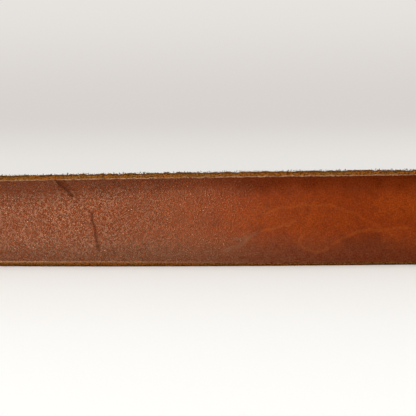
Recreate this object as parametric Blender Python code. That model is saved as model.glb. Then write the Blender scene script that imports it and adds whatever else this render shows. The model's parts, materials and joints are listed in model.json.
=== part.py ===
"""A leather money belt, open and standing on its long edge as a loose oval loop.

The strap is one length of leather. It folds round the buckle bar at one end and has five punched
holes and a rounded tip at the other. A zipped pocket panel lies on the inside of the front curve.

Metres, +Z up. Everything on the strap is placed in strap coordinates: s runs along the strap from
the buckle bar, n stands outwards from the strap's inner face, and z is measured across the strap
from its lower edge. The function at() turns (s, n, z) into a place in the world.
"""

import math

import bmesh
import bpy
from mathutils import Vector

MM = 0.001

# Strap leather
STRAP_LENGTH = 1040 * MM
STRAP_WIDTH = 38 * MM
STRAP_THICK = 3.0 * MM
EDGE_BEVEL = 1.3 * MM
MID = STRAP_WIDTH / 2

# The loop, seen from above and taken clockwise from the buckle: a straight right side, a front
# right corner, a wide front curve, a left side curve and a straight back that ends in the tip
FRONT_RADIUS = 300 * MM
SIDE_RADIUS = 105 * MM
CORNER_RADIUS = 80 * MM
HALF_FRONT_TURN = math.radians(34)
BUCKLE_RUN = 118 * MM
LIFT_TAIL = 18 * MM
ARC_STEP = math.radians(3.5)
FRONT_STEP = 9 * MM

# Skived fold round the buckle bar, with its flap on the inside
BAR_RADIUS = 1.7 * MM
FOLD_GAP = 0.3 * MM
FOLD_THICK = 2.0 * MM
FLAP_LENGTH = 66 * MM
PLY_GAP = 0.3 * MM
SKIVE_LENGTH = 20 * MM
BAR_N = STRAP_THICK - FOLD_THICK - FOLD_GAP - BAR_RADIUS
SLOT_WIDTH = 7 * MM
SLOT_REACH = 12.5 * MM

# Buckle
FRAME_HEIGHT = 48 * MM
FRAME_REACH = 42 * MM
FRAME_WIDE = 4.2 * MM
FRAME_THICK = 4.6 * MM
BOSS_THICK = 7.0 * MM
FRAME_CORNER = 8 * MM
FRAME_CAMBER = 1.5 * MM
BAR_HOLE_GAP = 0.25 * MM
PRONG_WIDE = 4.4 * MM
PRONG_THICK = 2.2 * MM
PRONG_EYE = 3.9 * MM
PRONG_REACH = 43.5 * MM
PRONG_TIP = 0.7 * MM
NOTCH_DEPTH = 0.8 * MM

# The frame is taller than the strap, so the strap rises to it by this much
LIFT = (FRAME_HEIGHT - STRAP_WIDTH) / 2

# Keepers
KEEPER_WIDE = 12 * MM
KEEPER_THICK = 1.5 * MM
KEEPER_SIDE_GAP = 0.5 * MM
KEEPER_ROOM = 7.6 * MM
FIXED_KEEPER_S = 38 * MM
LOOSE_KEEPER_S = 84 * MM

# Two-part screws through the fold
SCREW_PLACES = (21 * MM, 56 * MM)
SCREW_HEAD = 4.5 * MM
BARREL_RADIUS = 2.4 * MM
SHANK_RADIUS = 1.3 * MM

# Tip end
HOLE_COUNT = 5
HOLE_PITCH = 25 * MM
HOLE_RADIUS = 2.75 * MM
TIP_TO_HOLE = 75 * MM
TIP_CURVE = 26 * MM
TONGUE_LENGTH = 236 * MM

# Pocket panel, with its window for the zip
PANEL_THICK = 1.2 * MM
PANEL_RAISE = 1.8 * MM
PANEL_INSET = 0.6 * MM
PANEL_MARGIN = 4.0 * MM
PANEL_SLOPE = 2.5 * MM
WINDOW_END = 23 * MM
WINDOW_HALF = 5.2 * MM

# Zip
TAPE_THICK = 0.5 * MM
TAPE_OUT = -1.3 * MM
TAPE_HALF = 12 * MM
CHAIN_SPLIT = 0.45 * MM
COIL_WIDE = 2.15 * MM
COIL_TOP = -3.9 * MM
COIL_BASE = -2.0 * MM
COIL_END = 3.5 * MM
SLIDER_LENGTH = 9.6 * MM
SLIDER_START = 11 * MM
SLIDER_TRAVEL = 290 * MM
STITCH_OUT = 2.5 * MM
STITCH_WIDE = 0.8 * MM


def smooth(x, low, high):
    """0 below low, 1 above high, and an even rise between them."""
    t = min(1.0, max(0.0, (x - low) / (high - low)))
    return t * t * (3 - 2 * t)


# ---- the strap's line -------------------------------------------------------------------------

FRONT_RUN = 2 * HALF_FRONT_TURN * FRONT_RADIUS
CORNER_RUN = (math.pi / 2 - HALF_FRONT_TURN) * CORNER_RADIUS
SIDE_RUN = (math.pi - HALF_FRONT_TURN) * SIDE_RADIUS
TIP_RUN = STRAP_LENGTH - BUCKLE_RUN - CORNER_RUN - FRONT_RUN - SIDE_RUN
RUNS = (
    (BUCKLE_RUN, None),
    (CORNER_RUN, CORNER_RADIUS),
    (FRONT_RUN, FRONT_RADIUS),
    (SIDE_RUN, SIDE_RADIUS),
    (TIP_RUN, None),
)
FRONT_START = BUCKLE_RUN + CORNER_RUN
FRONT_END = FRONT_START + FRONT_RUN
FLEX_S = STRAP_LENGTH - TONGUE_LENGTH

# The loop's reach from the centre of its front curve, and the shift that puts its outline's middle at 0, 0
KEEPER_OUT = KEEPER_ROOM + KEEPER_THICK
BUCKLE_SIDE = (FRONT_RADIUS - CORNER_RADIUS) * math.sin(HALF_FRONT_TURN) + CORNER_RADIUS
BUCKLE_BACK = BUCKLE_RUN - (FRONT_RADIUS - CORNER_RADIUS) * math.cos(HALF_FRONT_TURN)
FAR_SIDE = -(FRONT_RADIUS - SIDE_RADIUS) * math.sin(HALF_FRONT_TURN) - SIDE_RADIUS - STRAP_THICK
ARC_X = -(BUCKLE_SIDE + KEEPER_OUT + FAR_SIDE) / 2
ARC_Y = -(BUCKLE_BACK + PRONG_REACH + PRONG_TIP - FRONT_RADIUS - STRAP_THICK) / 2
BAR_X = ARC_X + BUCKLE_SIDE
BAR_Y = ARC_Y + BUCKLE_BACK


def place(s):
    """(x, y, heading) on the line of the strap's inner face. Outside the strap the line runs on straight."""
    x, y, heading = BAR_X, BAR_Y, -math.pi / 2
    left = s
    for length, radius in RUNS:
        step = min(left, length)
        if radius:
            turned = heading - step / radius
            x += radius * (math.sin(heading) - math.sin(turned))
            y += radius * (math.cos(turned) - math.cos(heading))
            heading = turned
        else:
            x += step * math.cos(heading)
            y += step * math.sin(heading)
        left -= step
        if left <= 0:
            break
    return x + left * math.cos(heading), y + left * math.sin(heading), heading


def at(s, n, z):
    """The world point at s along the strap, n out from its inner face and z above its lower edge."""
    x, y, heading = place(s)
    lift = LIFT * (1 - smooth(s, BUCKLE_RUN, FRONT_START + LIFT_TAIL))
    return Vector((x - n * math.sin(heading), y + n * math.cos(heading), z + lift))


def stations(start, end):
    """Places along the strap from start to end, close enough together for its curves."""
    marks = [start, end]
    done = 0.0
    for length, radius in RUNS:
        if radius:
            pitch = FRONT_STEP if radius == FRONT_RADIUS else ARC_STEP * radius
            count = math.ceil(length / pitch)
            marks += [done + length * k / count for k in range(count + 1)]
        done += length
    inside = sorted(m for m in marks if start <= m <= end)
    kept = [inside[0]]
    for mark in inside[1:]:
        if mark - kept[-1] > 0.2 * MM:
            kept.append(mark)
    return kept


# ---- modelling helpers ------------------------------------------------------------------------


def material(name, colour, roughness, metallic=0.0):
    made = bpy.data.materials.new(name)
    made.use_nodes = True
    shader = made.node_tree.nodes["Principled BSDF"]
    shader.inputs["Base Color"].default_value = (*colour, 1)
    shader.inputs["Roughness"].default_value = roughness
    shader.inputs["Metallic"].default_value = metallic
    return made


def add(name, mesh, finish, origin=Vector(), smooth_angle=None):
    """One object, with its origin at a world point and its faces pointing out."""
    bmesh.ops.recalc_face_normals(mesh, faces=mesh.faces)
    bmesh.ops.translate(mesh, verts=mesh.verts, vec=-origin)
    data = bpy.data.meshes.new(name)
    mesh.to_mesh(data)
    mesh.free()
    if finish:
        data.materials.append(finish)
    if smooth_angle:
        data.shade_smooth()
        data.set_sharp_from_angle(angle=math.radians(smooth_angle))
    made = bpy.data.objects.new(name, data)
    made.location = origin
    bpy.context.scene.collection.objects.link(made)
    return made


def skin(rings):
    """A closed mesh through rings of points, capped at both ends."""
    mesh = bmesh.new()
    loops = [[mesh.verts.new(point) for point in ring] for ring in rings]
    count = len(loops[0])
    for low, high in zip(loops, loops[1:]):
        for k in range(count):
            after = (k + 1) % count
            mesh.faces.new((low[k], low[after], high[after], high[k]))
    mesh.faces.new(loops[0])
    mesh.faces.new(loops[-1])
    return mesh


def ribbon(marks, section):
    """A band along the strap: section(s) gives its outline there as (n, z) points."""
    return skin([[at(s, n, z) for n, z in section(s)] for s in marks])


def prism(outline, direction):
    """A flat outline of world points, extruded."""
    return skin([outline, [point + direction for point in outline]])


def turned(profile, centre, axis):
    """A round solid: profile is (radius, distance along axis), and both its ends are capped."""
    side = axis.orthogonal().normalized()
    other = axis.cross(side)
    count = 24
    angles = [math.tau * k / count for k in range(count)]
    return skin([
        [centre + axis * d + (side * math.cos(a) + other * math.sin(a)) * r for a in angles]
        for r, d in profile
    ])


def rounded(half_a, half_b, radius, steps=3):
    """Points round a rectangle with round corners, centred on 0, 0."""
    points = []
    for corner, (sign_a, sign_b) in enumerate(((1, 1), (-1, 1), (-1, -1), (1, -1))):
        for k in range(steps + 1):
            angle = math.pi / 2 * (corner + k / steps)
            points.append((
                sign_a * (half_a - radius) + radius * math.cos(angle),
                sign_b * (half_b - radius) + radius * math.sin(angle),
            ))
    return points


def combine(target, tool, operation):
    """A Boolean with a helper object, which is left out of the model."""
    tool.hide_render = True
    tool.display_type = "WIRE"
    modifier = target.modifiers.new(tool.name, "BOOLEAN")
    modifier.operation = operation
    modifier.object = tool


def block(s_range, n_range, z_range):
    """A box in strap coordinates, on a straight or nearly straight stretch."""
    (s0, s1), (n0, n1), (z0, z1) = s_range, n_range, z_range
    outline = [(n0, z0), (n1, z0), (n1, z1), (n0, z1)]
    return ribbon((s0, s1), lambda s: outline)


def hole_tool(name, s, radius):
    """A round cutter straight through the strap at s."""
    centre = at(s, 0, MID)
    outwards = (at(s, MM, MID) - centre).normalized()
    return add(name, turned([(radius, -12 * MM), (radius, 12 * MM)], centre, outwards), None)


# ---- strap ------------------------------------------------------------------------------------


def leather_section(thick, low, high):
    """Across the leather: depth from the flesh side and height, bevelled on the grain side."""
    bevel = min(EDGE_BEVEL, 0.45 * thick)
    return [
        (0, low),
        (thick - bevel, low),
        (thick, low + bevel),
        (thick, high - bevel),
        (thick - bevel, high),
        (0, high),
    ]


def flap_n(s):
    """The flap's flesh side: away from the bar it lies on the strap, and it bulges over the fixed keeper."""
    at_bar = BAR_N - BAR_RADIUS - FOLD_GAP
    half = KEEPER_WIDE / 2
    over = KEEPER_THICK + 0.3 * MM
    rise = smooth(s, 2 * MM, 14 * MM)
    bulge = smooth(s, FIXED_KEEPER_S - half - 6 * MM, FIXED_KEEPER_S - half - 0.4 * MM)
    bulge *= 1 - smooth(s, FIXED_KEEPER_S + half + 0.4 * MM, FIXED_KEEPER_S + half + 6 * MM)
    return at_bar + (-PLY_GAP - at_bar) * rise - over * bulge


def fold_stations():
    """The flesh side from the flap's end round the bar: (s, n, direction of the grain, thickness)."""
    made = []
    steps = 26
    for k in range(steps):
        s = FLAP_LENGTH * (1 - k / steps)
        made.append((s, flap_n(s), -math.pi / 2, FOLD_THICK))
    inner = BAR_RADIUS + FOLD_GAP
    turns = 10
    for k in range(turns + 1):
        angle = -math.pi / 2 - math.pi * k / turns
        made.append((inner * math.cos(angle), BAR_N + inner * math.sin(angle), angle, FOLD_THICK))
    steps = 6
    for k in range(1, steps + 1):
        s = SKIVE_LENGTH * k / steps
        n = (STRAP_THICK - FOLD_THICK) * (1 - smooth(s, 3 * MM, SKIVE_LENGTH))
        made.append((s, n, math.pi / 2, STRAP_THICK - n))
    return made


def build_strap(finish):
    rings = []
    for s, n, angle, thick in fold_stations():
        outline = leather_section(thick, 0, STRAP_WIDTH)
        rings.append([at(s + d * math.cos(angle), n + d * math.sin(angle), z) for d, z in outline])
    end = FLEX_S - STRAP_THICK / 2 - 0.4 * MM
    for s in stations(SKIVE_LENGTH + 8 * MM, end):
        rings.append([at(s, d, z) for d, z in leather_section(STRAP_THICK, 0, STRAP_WIDTH)])
    strap = add("front_strap", skin(rings), finish)

    half = SLOT_WIDTH / 2
    nose = -12 * MM
    outline = [at(nose, 12 * MM, MID - half), at(nose, 12 * MM, MID + half)]
    for k in range(9):
        angle = math.pi / 2 - math.pi * k / 8
        s = SLOT_REACH - half + half * math.cos(angle)
        outline.append(at(s, 12 * MM, MID + half * math.sin(angle)))
    through = at(0, -12 * MM, 0) - at(0, 12 * MM, 0)
    combine(strap, add("slot_tool", prism(outline, through), None), "DIFFERENCE")
    for k, s in enumerate(SCREW_PLACES):
        combine(strap, hole_tool(f"screw_hole_tool_{k + 1}", s, BARREL_RADIUS + 0.35 * MM), "DIFFERENCE")


def tip_half_width(s):
    """Half the strap's width: full until the tip's curve, then closing to a rounded end."""
    q = max(0.0, (s - (STRAP_LENGTH - TIP_CURVE)) / TIP_CURVE)
    return MID * (1 - min(q, 0.99) ** 2.4) ** 0.6


def tongue_section(s, low_n, high_n):
    half = tip_half_width(s)
    outline = leather_section(high_n - low_n, MID - half, MID + half)
    return [(low_n + d, z) for d, z in outline]


def build_tongue(finish):
    """The free end of the strap, which swings where the strap flexes. Its root is round about that line."""
    radius = STRAP_THICK / 2
    rings = []
    for angle in (78, 55, 32, 12):
        back = radius * math.sin(math.radians(angle))
        half = radius * math.cos(math.radians(angle))
        outline = tongue_section(FLEX_S, radius - half, radius + half)
        rings.append([at(FLEX_S - back, n, z) for n, z in outline])
    marks = stations(FLEX_S, STRAP_LENGTH - TIP_CURVE)
    tip_steps = 9
    for k in range(1, tip_steps + 1):
        marks.append(STRAP_LENGTH - TIP_CURVE + TIP_CURVE * math.sin(math.pi / 2 * k / tip_steps))
    for s in marks:
        rings.append([at(s, n, z) for n, z in tongue_section(s, 0, STRAP_THICK)])
    pivot = at(FLEX_S, radius, 0)
    tongue = add("strap_tongue", skin(rings), finish, pivot)
    for k in range(HOLE_COUNT):
        s = STRAP_LENGTH - TIP_TO_HOLE - HOLE_PITCH * k
        combine(tongue, hole_tool(f"belt_hole_tool_{k + 1}", s, HOLE_RADIUS), "DIFFERENCE")


# ---- pocket and zip ---------------------------------------------------------------------------

WINDOW_S = (FRONT_START + WINDOW_END, FRONT_END - WINDOW_END)
PANEL_RISES = ((FRONT_START + 3 * MM, FRONT_START + 11 * MM), (FRONT_END - 11 * MM, FRONT_END - 3 * MM))


def panel_section(s):
    """Across the pocket panel: flat margins on the strap, and a raised middle over the zip's tapes."""
    ends = smooth(s, *PANEL_RISES[0]) * (1 - smooth(s, *PANEL_RISES[1]))
    raised = PANEL_RAISE * ends
    low, high = PANEL_INSET, STRAP_WIDTH - PANEL_INSET
    across = (
        (low, 0),
        (low + PANEL_MARGIN, 0),
        (low + PANEL_MARGIN + PANEL_SLOPE, raised),
        (high - PANEL_MARGIN - PANEL_SLOPE, raised),
        (high - PANEL_MARGIN, 0),
        (high, 0),
    )
    near = [(-PLY_GAP - up, z) for z, up in across]
    far = [(-PLY_GAP - PANEL_THICK - up, z) for z, up in reversed(across)]
    return near + far


def band(n_range, z_range):
    (n0, n1), (z0, z1) = n_range, z_range
    return lambda s: [(n0, z0), (n1, z0), (n1, z1), (n0, z1)]


def build_panel(finish):
    marks = sorted([*stations(FRONT_START, FRONT_END), *PANEL_RISES[0], *PANEL_RISES[1]])
    panel = add("pocket_panel", ribbon(marks, panel_section), finish)
    window = band((-9 * MM, 3 * MM), (MID - WINDOW_HALF, MID + WINDOW_HALF))
    combine(panel, add("window_tool", ribbon(stations(*WINDOW_S), window), None), "DIFFERENCE")


def build_stitching(finish):
    """The seam that holds the zip in the window, as one closed line of thread."""
    near = -PLY_GAP - PANEL_RAISE - PANEL_THICK - 0.25 * MM
    outer = STITCH_OUT + STITCH_WIDE / 2
    inner = STITCH_OUT - STITCH_WIDE / 2
    made = []
    for name, grow, depth in (("window_stitching", outer, 0), ("stitch_tool", inner, 1 * MM)):
        marks = stations(WINDOW_S[0] - grow, WINDOW_S[1] + grow)
        half = WINDOW_HALF + grow
        section = band((near - 0.35 * MM - depth, near + depth), (MID - half, MID + half))
        made.append(add(name, ribbon(marks, section), finish))
    combine(made[0], made[1], "DIFFERENCE")


def build_zip(tape_finish, coil_finish, metal):
    tape_marks = stations(FRONT_START + 12 * MM, FRONT_END - 12 * MM)
    coil_marks = stations(WINDOW_S[0] + COIL_END, WINDOW_S[1] - COIL_END)
    for name, side in (("upper", 1), ("lower", -1)):
        edges = sorted((MID + side * 0.5 * MM, MID + side * TAPE_HALF))
        tape = band((TAPE_OUT - TAPE_THICK, TAPE_OUT), edges)
        add(f"zip_tape_{name}", ribbon(tape_marks, tape), tape_finish)
        centre = MID + side * (CHAIN_SPLIT + COIL_WIDE / 2)
        half_n = (COIL_BASE - COIL_TOP) / 2
        right = ((-1.57, 0.55), (-0.5, 1), (0.5, 1), (1.57, 0.55))
        corners = [(a, -c) for a, c in right] + list(reversed(right))
        outline = [
            ((COIL_BASE + COIL_TOP) / 2 + half_n * math.sin(a), centre + COIL_WIDE / 2 * c)
            for a, c in corners
        ]
        add(f"zip_coil_{name}", ribbon(coil_marks, lambda s, o=outline: o), coil_finish)
        stop_s = WINDOW_S[0] + COIL_END
        edges = sorted((MID + side * CHAIN_SPLIT, MID + side * (CHAIN_SPLIT + 2.4 * MM)))
        stop = block((stop_s - 2.2 * MM, stop_s - 0.3 * MM), (COIL_TOP, COIL_BASE), edges)
        add(f"zip_top_stop_{name}", stop, metal)
    stop_s = WINDOW_S[1] - COIL_END
    stop = block((stop_s + 0.3 * MM, stop_s + 3.0 * MM), (COIL_TOP, COIL_BASE), (MID - 3 * MM, MID + 3 * MM))
    add("zip_bottom_stop", stop, metal)


SLIDER_S = WINDOW_S[0] + SLIDER_START
SLIDER_TOP = -5.0 * MM
PULL_N = -5.85 * MM
PULL_HALF = 0.5 * MM


def slider_frame():
    """The point of the strap's inner face at the slider, with the directions along, out and up."""
    x, y, heading = place(SLIDER_S)
    along = Vector((math.cos(heading), math.sin(heading), 0))
    out = Vector((-math.sin(heading), math.cos(heading), 0))
    return Vector((x, y, MID)), along, out, Vector((0, 0, 1))


def local(t, n, z):
    """A point near the slider, in its own straight axes."""
    base, along, out, up = slider_frame()
    return base + along * t + out * n + up * z


def plate(outline, n0, n1):
    """A plate parallel to the strap at the slider, from its outline as (t, z) points."""
    direction = local(0, n1, 0) - local(0, n0, 0)
    return prism([local(t, n0, z) for t, z in outline], direction)


def bridge_outline():
    """Side view of the slider's bridge: an arch along the slider, as (t, n) points."""
    outer = [(-4.0, -4.7), (-4.0, -6.6), (-3.2, -7.4), (3.2, -7.4), (4.0, -6.6), (4.0, -4.7)]
    inner = [(3.0, -4.7), (3.0, -6.2), (2.5, -6.7), (-2.5, -6.7), (-3.0, -6.2), (-3.0, -4.7)]
    return [(t * MM, n * MM) for t, n in outer + inner]


def build_slider(metal):
    half = SLIDER_LENGTH / 2
    nose, mouth = 3.6 * MM, 4.7 * MM
    taper = half - 2 * MM
    shape = [(-half, -mouth), (taper, -mouth), (half, -nose), (half, nose), (taper, mouth), (-half, mouth)]
    axis_point = Vector((ARC_X, ARC_Y, 0))
    slider = add("slider_body", plate(shape, -4.15 * MM, SLIDER_TOP), metal, axis_point)
    back = [(t * 0.94, z * 0.9) for t, z in shape]
    tools = [("slider_back_tool", plate(back, -0.35 * MM, -1.05 * MM))]
    post = rounded(1.3 * MM, 0.22 * MM, 0.1 * MM, 2)
    tools.append(("slider_post_tool", plate([(t - 2.8 * MM, z) for t, z in post], -0.7 * MM, -4.5 * MM)))
    for side in (-1, 1):
        begin, end = -half + 0.3 * MM, half - 2.2 * MM
        edge = [(begin, 3.8 * MM), (end, 3.8 * MM), (end, 4.6 * MM), (begin, 4.6 * MM)]
        flange = plate([(t, side * z) for t, z in edge], -2.1 * MM, -4.5 * MM)
        tools.append((f"slider_flange_tool_{side}", flange))
    width = 2.4 * MM
    arch = prism([local(t, n, -width / 2) for t, n in bridge_outline()], Vector((0, 0, width)))
    tools.append(("slider_bridge_tool", arch))
    for name, mesh in tools:
        combine(slider, add(name, mesh, None), "UNION")

    tab_length, tab_half = 25 * MM, 2.8 * MM
    outline = [(t + tab_length / 2 - PULL_HALF, z) for t, z in rounded(tab_length / 2, tab_half, 2.2 * MM, 5)]
    # the far end is rounded; the hinge end is left square
    rounded_end = [(t, z) for t, z in outline if t > 6 * MM and z >= 0]
    upper = sorted(rounded_end, key=lambda point: -point[0] + 0.0001 * point[1]) + [(-PULL_HALF, tab_half)]
    lower = [(t, -z) for t, z in reversed(upper)]
    mesh = plate(upper + lower, PULL_N + PULL_HALF, PULL_N - PULL_HALF)
    tab = add("pull_tab", mesh, metal, local(0, PULL_N, -MID))
    eye = [(PULL_HALF, -1.65 * MM), (5.4 * MM, -1.65 * MM), (5.4 * MM, 1.65 * MM), (PULL_HALF, 1.65 * MM)]
    combine(tab, add("tab_eye_tool", plate(eye, -3 * MM, -9 * MM), None), "DIFFERENCE")
    end_hole = [(t + tab_length - 4.4 * MM, z) for t, z in rounded(1.6 * MM, 1.2 * MM, 1.1 * MM, 4)]
    combine(tab, add("tab_hole_tool", plate(end_hole, -3 * MM, -9 * MM), None), "DIFFERENCE")


# ---- buckle -----------------------------------------------------------------------------------


def build_buckle(metal, steel):
    low = -(FRAME_HEIGHT - STRAP_WIDTH) / 2 + FRAME_WIDE / 2
    far = -FRAME_REACH + FRAME_WIDE / 2
    bend = FRAME_CORNER
    half_path = [(s * MM, low, 0.0) for s in (3.7, 3.2, 1.6, 0, -4, -9, -14, -20, -26)]
    for k in range(8):
        a = math.pi / 2 * k / 7
        half_path.append((far + bend - bend * math.sin(a), low + bend - bend * math.cos(a), a))
    span = STRAP_WIDTH / 2 - low - bend
    half_path += [(far, low + bend + span * k / 4, math.pi / 2) for k in (1, 2, 3)]
    whole = half_path + [(far, MID, math.pi / 2)]
    whole += [(s, STRAP_WIDTH - z, math.pi - a) for s, z, a in reversed(half_path)]
    rings = []
    count = 14
    for s, z, turn in whole:
        thick = FRAME_THICK + (BOSS_THICK - FRAME_THICK) * smooth(s, -14 * MM, -2 * MM)
        end = math.sqrt(max(0.12, 1 - (max(0.0, s) / (3.9 * MM)) ** 2))
        camber = FRAME_CAMBER * (min(s, 0) / FRAME_REACH) ** 2
        ring = []
        for k in range(count):
            a = math.tau * k / count
            across = FRAME_WIDE / 2 * math.copysign(abs(math.cos(a)) ** 0.7, math.cos(a))
            up = thick / 2 * end * math.copysign(abs(math.sin(a)) ** 0.7, math.sin(a))
            ring.append(at(s - across * math.sin(turn), BAR_N + camber + up, z - across * math.cos(turn)))
        rings.append(ring)
    pivot = at(0, BAR_N, 0)
    frame = add("buckle_frame", skin(rings), metal, pivot, smooth_angle=40)
    upwards = Vector((0, 0, 1))
    bore = BAR_RADIUS + BAR_HOLE_GAP
    ends = (-10 * MM, STRAP_WIDTH + 10 * MM)
    bar_hole = turned([(bore, ends[0]), (bore, ends[1])], pivot, upwards)
    combine(frame, add("bar_hole_tool", bar_hole, None), "DIFFERENCE")
    face = BAR_N + FRAME_CAMBER + FRAME_THICK / 2
    notch_half = PRONG_WIDE / 2 + 0.4 * MM
    notch = block((-FRAME_REACH - 3 * MM, -FRAME_REACH + FRAME_WIDE + 3 * MM),
                  (face - NOTCH_DEPTH - 0.25 * MM, face + 3 * MM),
                  (MID - notch_half, MID + notch_half))
    combine(frame, add("notch_tool", notch, None), "DIFFERENCE")

    reach = (FRAME_HEIGHT - STRAP_WIDTH) / 2 - 0.2 * MM
    profile = [(BAR_RADIUS - 0.3 * MM, -reach), (BAR_RADIUS, -reach + 0.4 * MM),
               (BAR_RADIUS, STRAP_WIDTH + reach - 0.4 * MM), (BAR_RADIUS - 0.3 * MM, STRAP_WIDTH + reach)]
    add("buckle_bar", turned(profile, pivot, upwards), steel, pivot, smooth_angle=40)


def prong_outline():
    """Side view of the prong as (s, n): its shank from the eye to the tip, then round the eye."""
    root = BAR_N + PRONG_EYE - PRONG_THICK / 2
    tip = BAR_N + FRAME_CAMBER + FRAME_THICK / 2 - NOTCH_DEPTH + PRONG_THICK / 2 + 0.3 * MM
    marks = [k / 10 for k in range(11)]

    def middle(q):
        return root + (tip - root) * smooth(q, 0, 1) + 0.9 * MM * math.sin(math.pi * q)

    top = [(-PRONG_REACH * q, middle(q) + PRONG_THICK / 2 * (1 - 0.25 * q)) for q in marks]
    far = -PRONG_REACH - PRONG_TIP
    end = [(far, middle(1) + 0.3 * MM), (far, middle(1) - 0.3 * MM)]
    under = [(-PRONG_REACH * q, middle(q) - PRONG_THICK / 2 * (1 - 0.25 * q)) for q in reversed(marks[1:])]
    inner = root - PRONG_THICK / 2 - BAR_N
    start = math.pi - math.asin(inner / PRONG_EYE)
    finish = math.tau + math.pi / 2
    count = 18
    angles = [start + (finish - start) * k / count for k in range(count)]
    eye = [(PRONG_EYE * math.cos(a), BAR_N + PRONG_EYE * math.sin(a)) for a in angles]
    return top + end + under + eye


def build_prong(metal):
    low = MID - PRONG_WIDE / 2
    pivot = at(0, BAR_N, 0)
    outline = [at(s, n, low) for s, n in prong_outline()]
    prong = add("prong", prism(outline, Vector((0, 0, PRONG_WIDE))), metal, pivot)
    bore = BAR_RADIUS + BAR_HOLE_GAP
    tool = turned([(bore, 5 * MM), (bore, STRAP_WIDTH - 5 * MM)], pivot, Vector((0, 0, 1)))
    combine(prong, add("prong_eye_tool", tool, None), "DIFFERENCE")


# ---- keepers and screws -----------------------------------------------------------------------


def keeper(name, s_middle, inner_n, finish, origin=Vector()):
    """A leather band round the strap, with room on the outside for the tongue."""
    room = KEEPER_ROOM - inner_n
    inner_half_n = room / 2
    inner_half_z = STRAP_WIDTH / 2 + KEEPER_SIDE_GAP
    middle_n = inner_n + inner_half_n
    loops = []
    for grow, radius in ((0, 0.8 * MM), (KEEPER_THICK, 0.8 * MM + KEEPER_THICK)):
        loops.append(rounded(inner_half_n + grow, inner_half_z + grow, radius))
    mesh = bmesh.new()
    sides = []
    for s in (s_middle - KEEPER_WIDE / 2, s_middle + KEEPER_WIDE / 2):
        sides.append([[mesh.verts.new(at(s, middle_n + n, MID + z)) for n, z in loop] for loop in loops])
    (inner_a, outer_a), (inner_b, outer_b) = sides
    count = len(inner_a)
    for first, second in ((inner_a, outer_a), (outer_a, outer_b), (outer_b, inner_b), (inner_b, inner_a)):
        for k in range(count):
            after = (k + 1) % count
            mesh.faces.new((first[k], first[after], second[after], second[k]))
    return add(name, mesh, finish, origin)


def build_keepers(finish, steel):
    keeper("fixed_keeper", FIXED_KEEPER_S, -PLY_GAP, finish)
    back = -0.4 * MM
    keeper("loose_keeper", LOOSE_KEEPER_S, back, finish, at(LOOSE_KEEPER_S, 0, MID))
    near = back - KEEPER_THICK - 0.25 * MM
    half = 4.5 * MM
    wire = block((LOOSE_KEEPER_S - half, LOOSE_KEEPER_S + half), (near - 0.7 * MM, near),
                 (MID - 0.5 * MM, MID + 0.5 * MM))
    add("keeper_staple", wire, steel, at(LOOSE_KEEPER_S, near, MID))


def build_screws(metal):
    for k, s in enumerate(SCREW_PLACES):
        face = STRAP_THICK + 0.15 * MM
        flap_face = flap_n(s) - FOLD_THICK - 0.15 * MM
        centre = at(s, 0, MID)
        out = (at(s, MM, MID) - centre).normalized()
        post = [
            (0.25 * SCREW_HEAD, face + 1.35 * MM),
            (0.6 * SCREW_HEAD, face + 1.15 * MM),
            (0.88 * SCREW_HEAD, face + 0.7 * MM),
            (SCREW_HEAD, face + 0.25 * MM),
            (SCREW_HEAD, face),
            (BARREL_RADIUS, face),
            (BARREL_RADIUS, flap_face + 0.3 * MM),
            (SHANK_RADIUS + 0.3 * MM, flap_face + 0.3 * MM),
            (SHANK_RADIUS + 0.3 * MM, face - 0.9 * MM),
        ]
        add(f"screw_post_{k + 1}", turned(post, centre, out), metal, smooth_angle=30)
        screw = [
            (0.75 * SCREW_HEAD, flap_face - 1.1 * MM),
            (0.95 * SCREW_HEAD, flap_face - 0.8 * MM),
            (0.95 * SCREW_HEAD, flap_face),
            (SHANK_RADIUS, flap_face),
            (SHANK_RADIUS, face - 1.3 * MM),
        ]
        made = add(f"fold_screw_{k + 1}", turned(screw, centre, out), metal, smooth_angle=30)
        slot = block((s - 6 * MM, s + 6 * MM), (flap_face - 2 * MM, flap_face - 0.6 * MM),
                     (MID - 0.5 * MM, MID + 0.5 * MM))
        combine(made, add(f"driver_slot_tool_{k + 1}", slot, None), "DIFFERENCE")


def main():
    for old in list(bpy.data.objects):
        bpy.data.objects.remove(old)
    leather = material("strap_leather", (0.24, 0.055, 0.012), 0.5)
    lining = material("lining_leather", (0.33, 0.15, 0.06), 0.7)
    tape = material("zip_tape_cloth", (0.05, 0.025, 0.014), 0.9)
    coil = material("zip_coil_nylon", (0.035, 0.018, 0.01), 0.4)
    thread = material("seam_thread", (0.45, 0.28, 0.12), 0.8)
    brass = material("aged_brass", (0.52, 0.37, 0.15), 0.35, 1.0)
    steel = material("plated_steel", (0.55, 0.52, 0.46), 0.3, 1.0)
    build_strap(leather)
    build_tongue(leather)
    build_panel(lining)
    build_stitching(thread)
    build_zip(tape, coil, brass)
    build_slider(brass)
    build_buckle(brass, steel)
    build_prong(brass)
    build_keepers(leather, steel)
    build_screws(brass)


main()
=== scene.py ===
"""The looks of a leather money belt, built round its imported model.

The belt stands open on its long edge. Places along it are strap coordinates, in metres: s runs
along the strap from the buckle bar, n stands outwards from its flesh side and z is height across
it. The leather's UV map holds s and the distance across the grain from the strap's middle, so its
grain, dye and marks follow the strap round every bend.
"""

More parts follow.
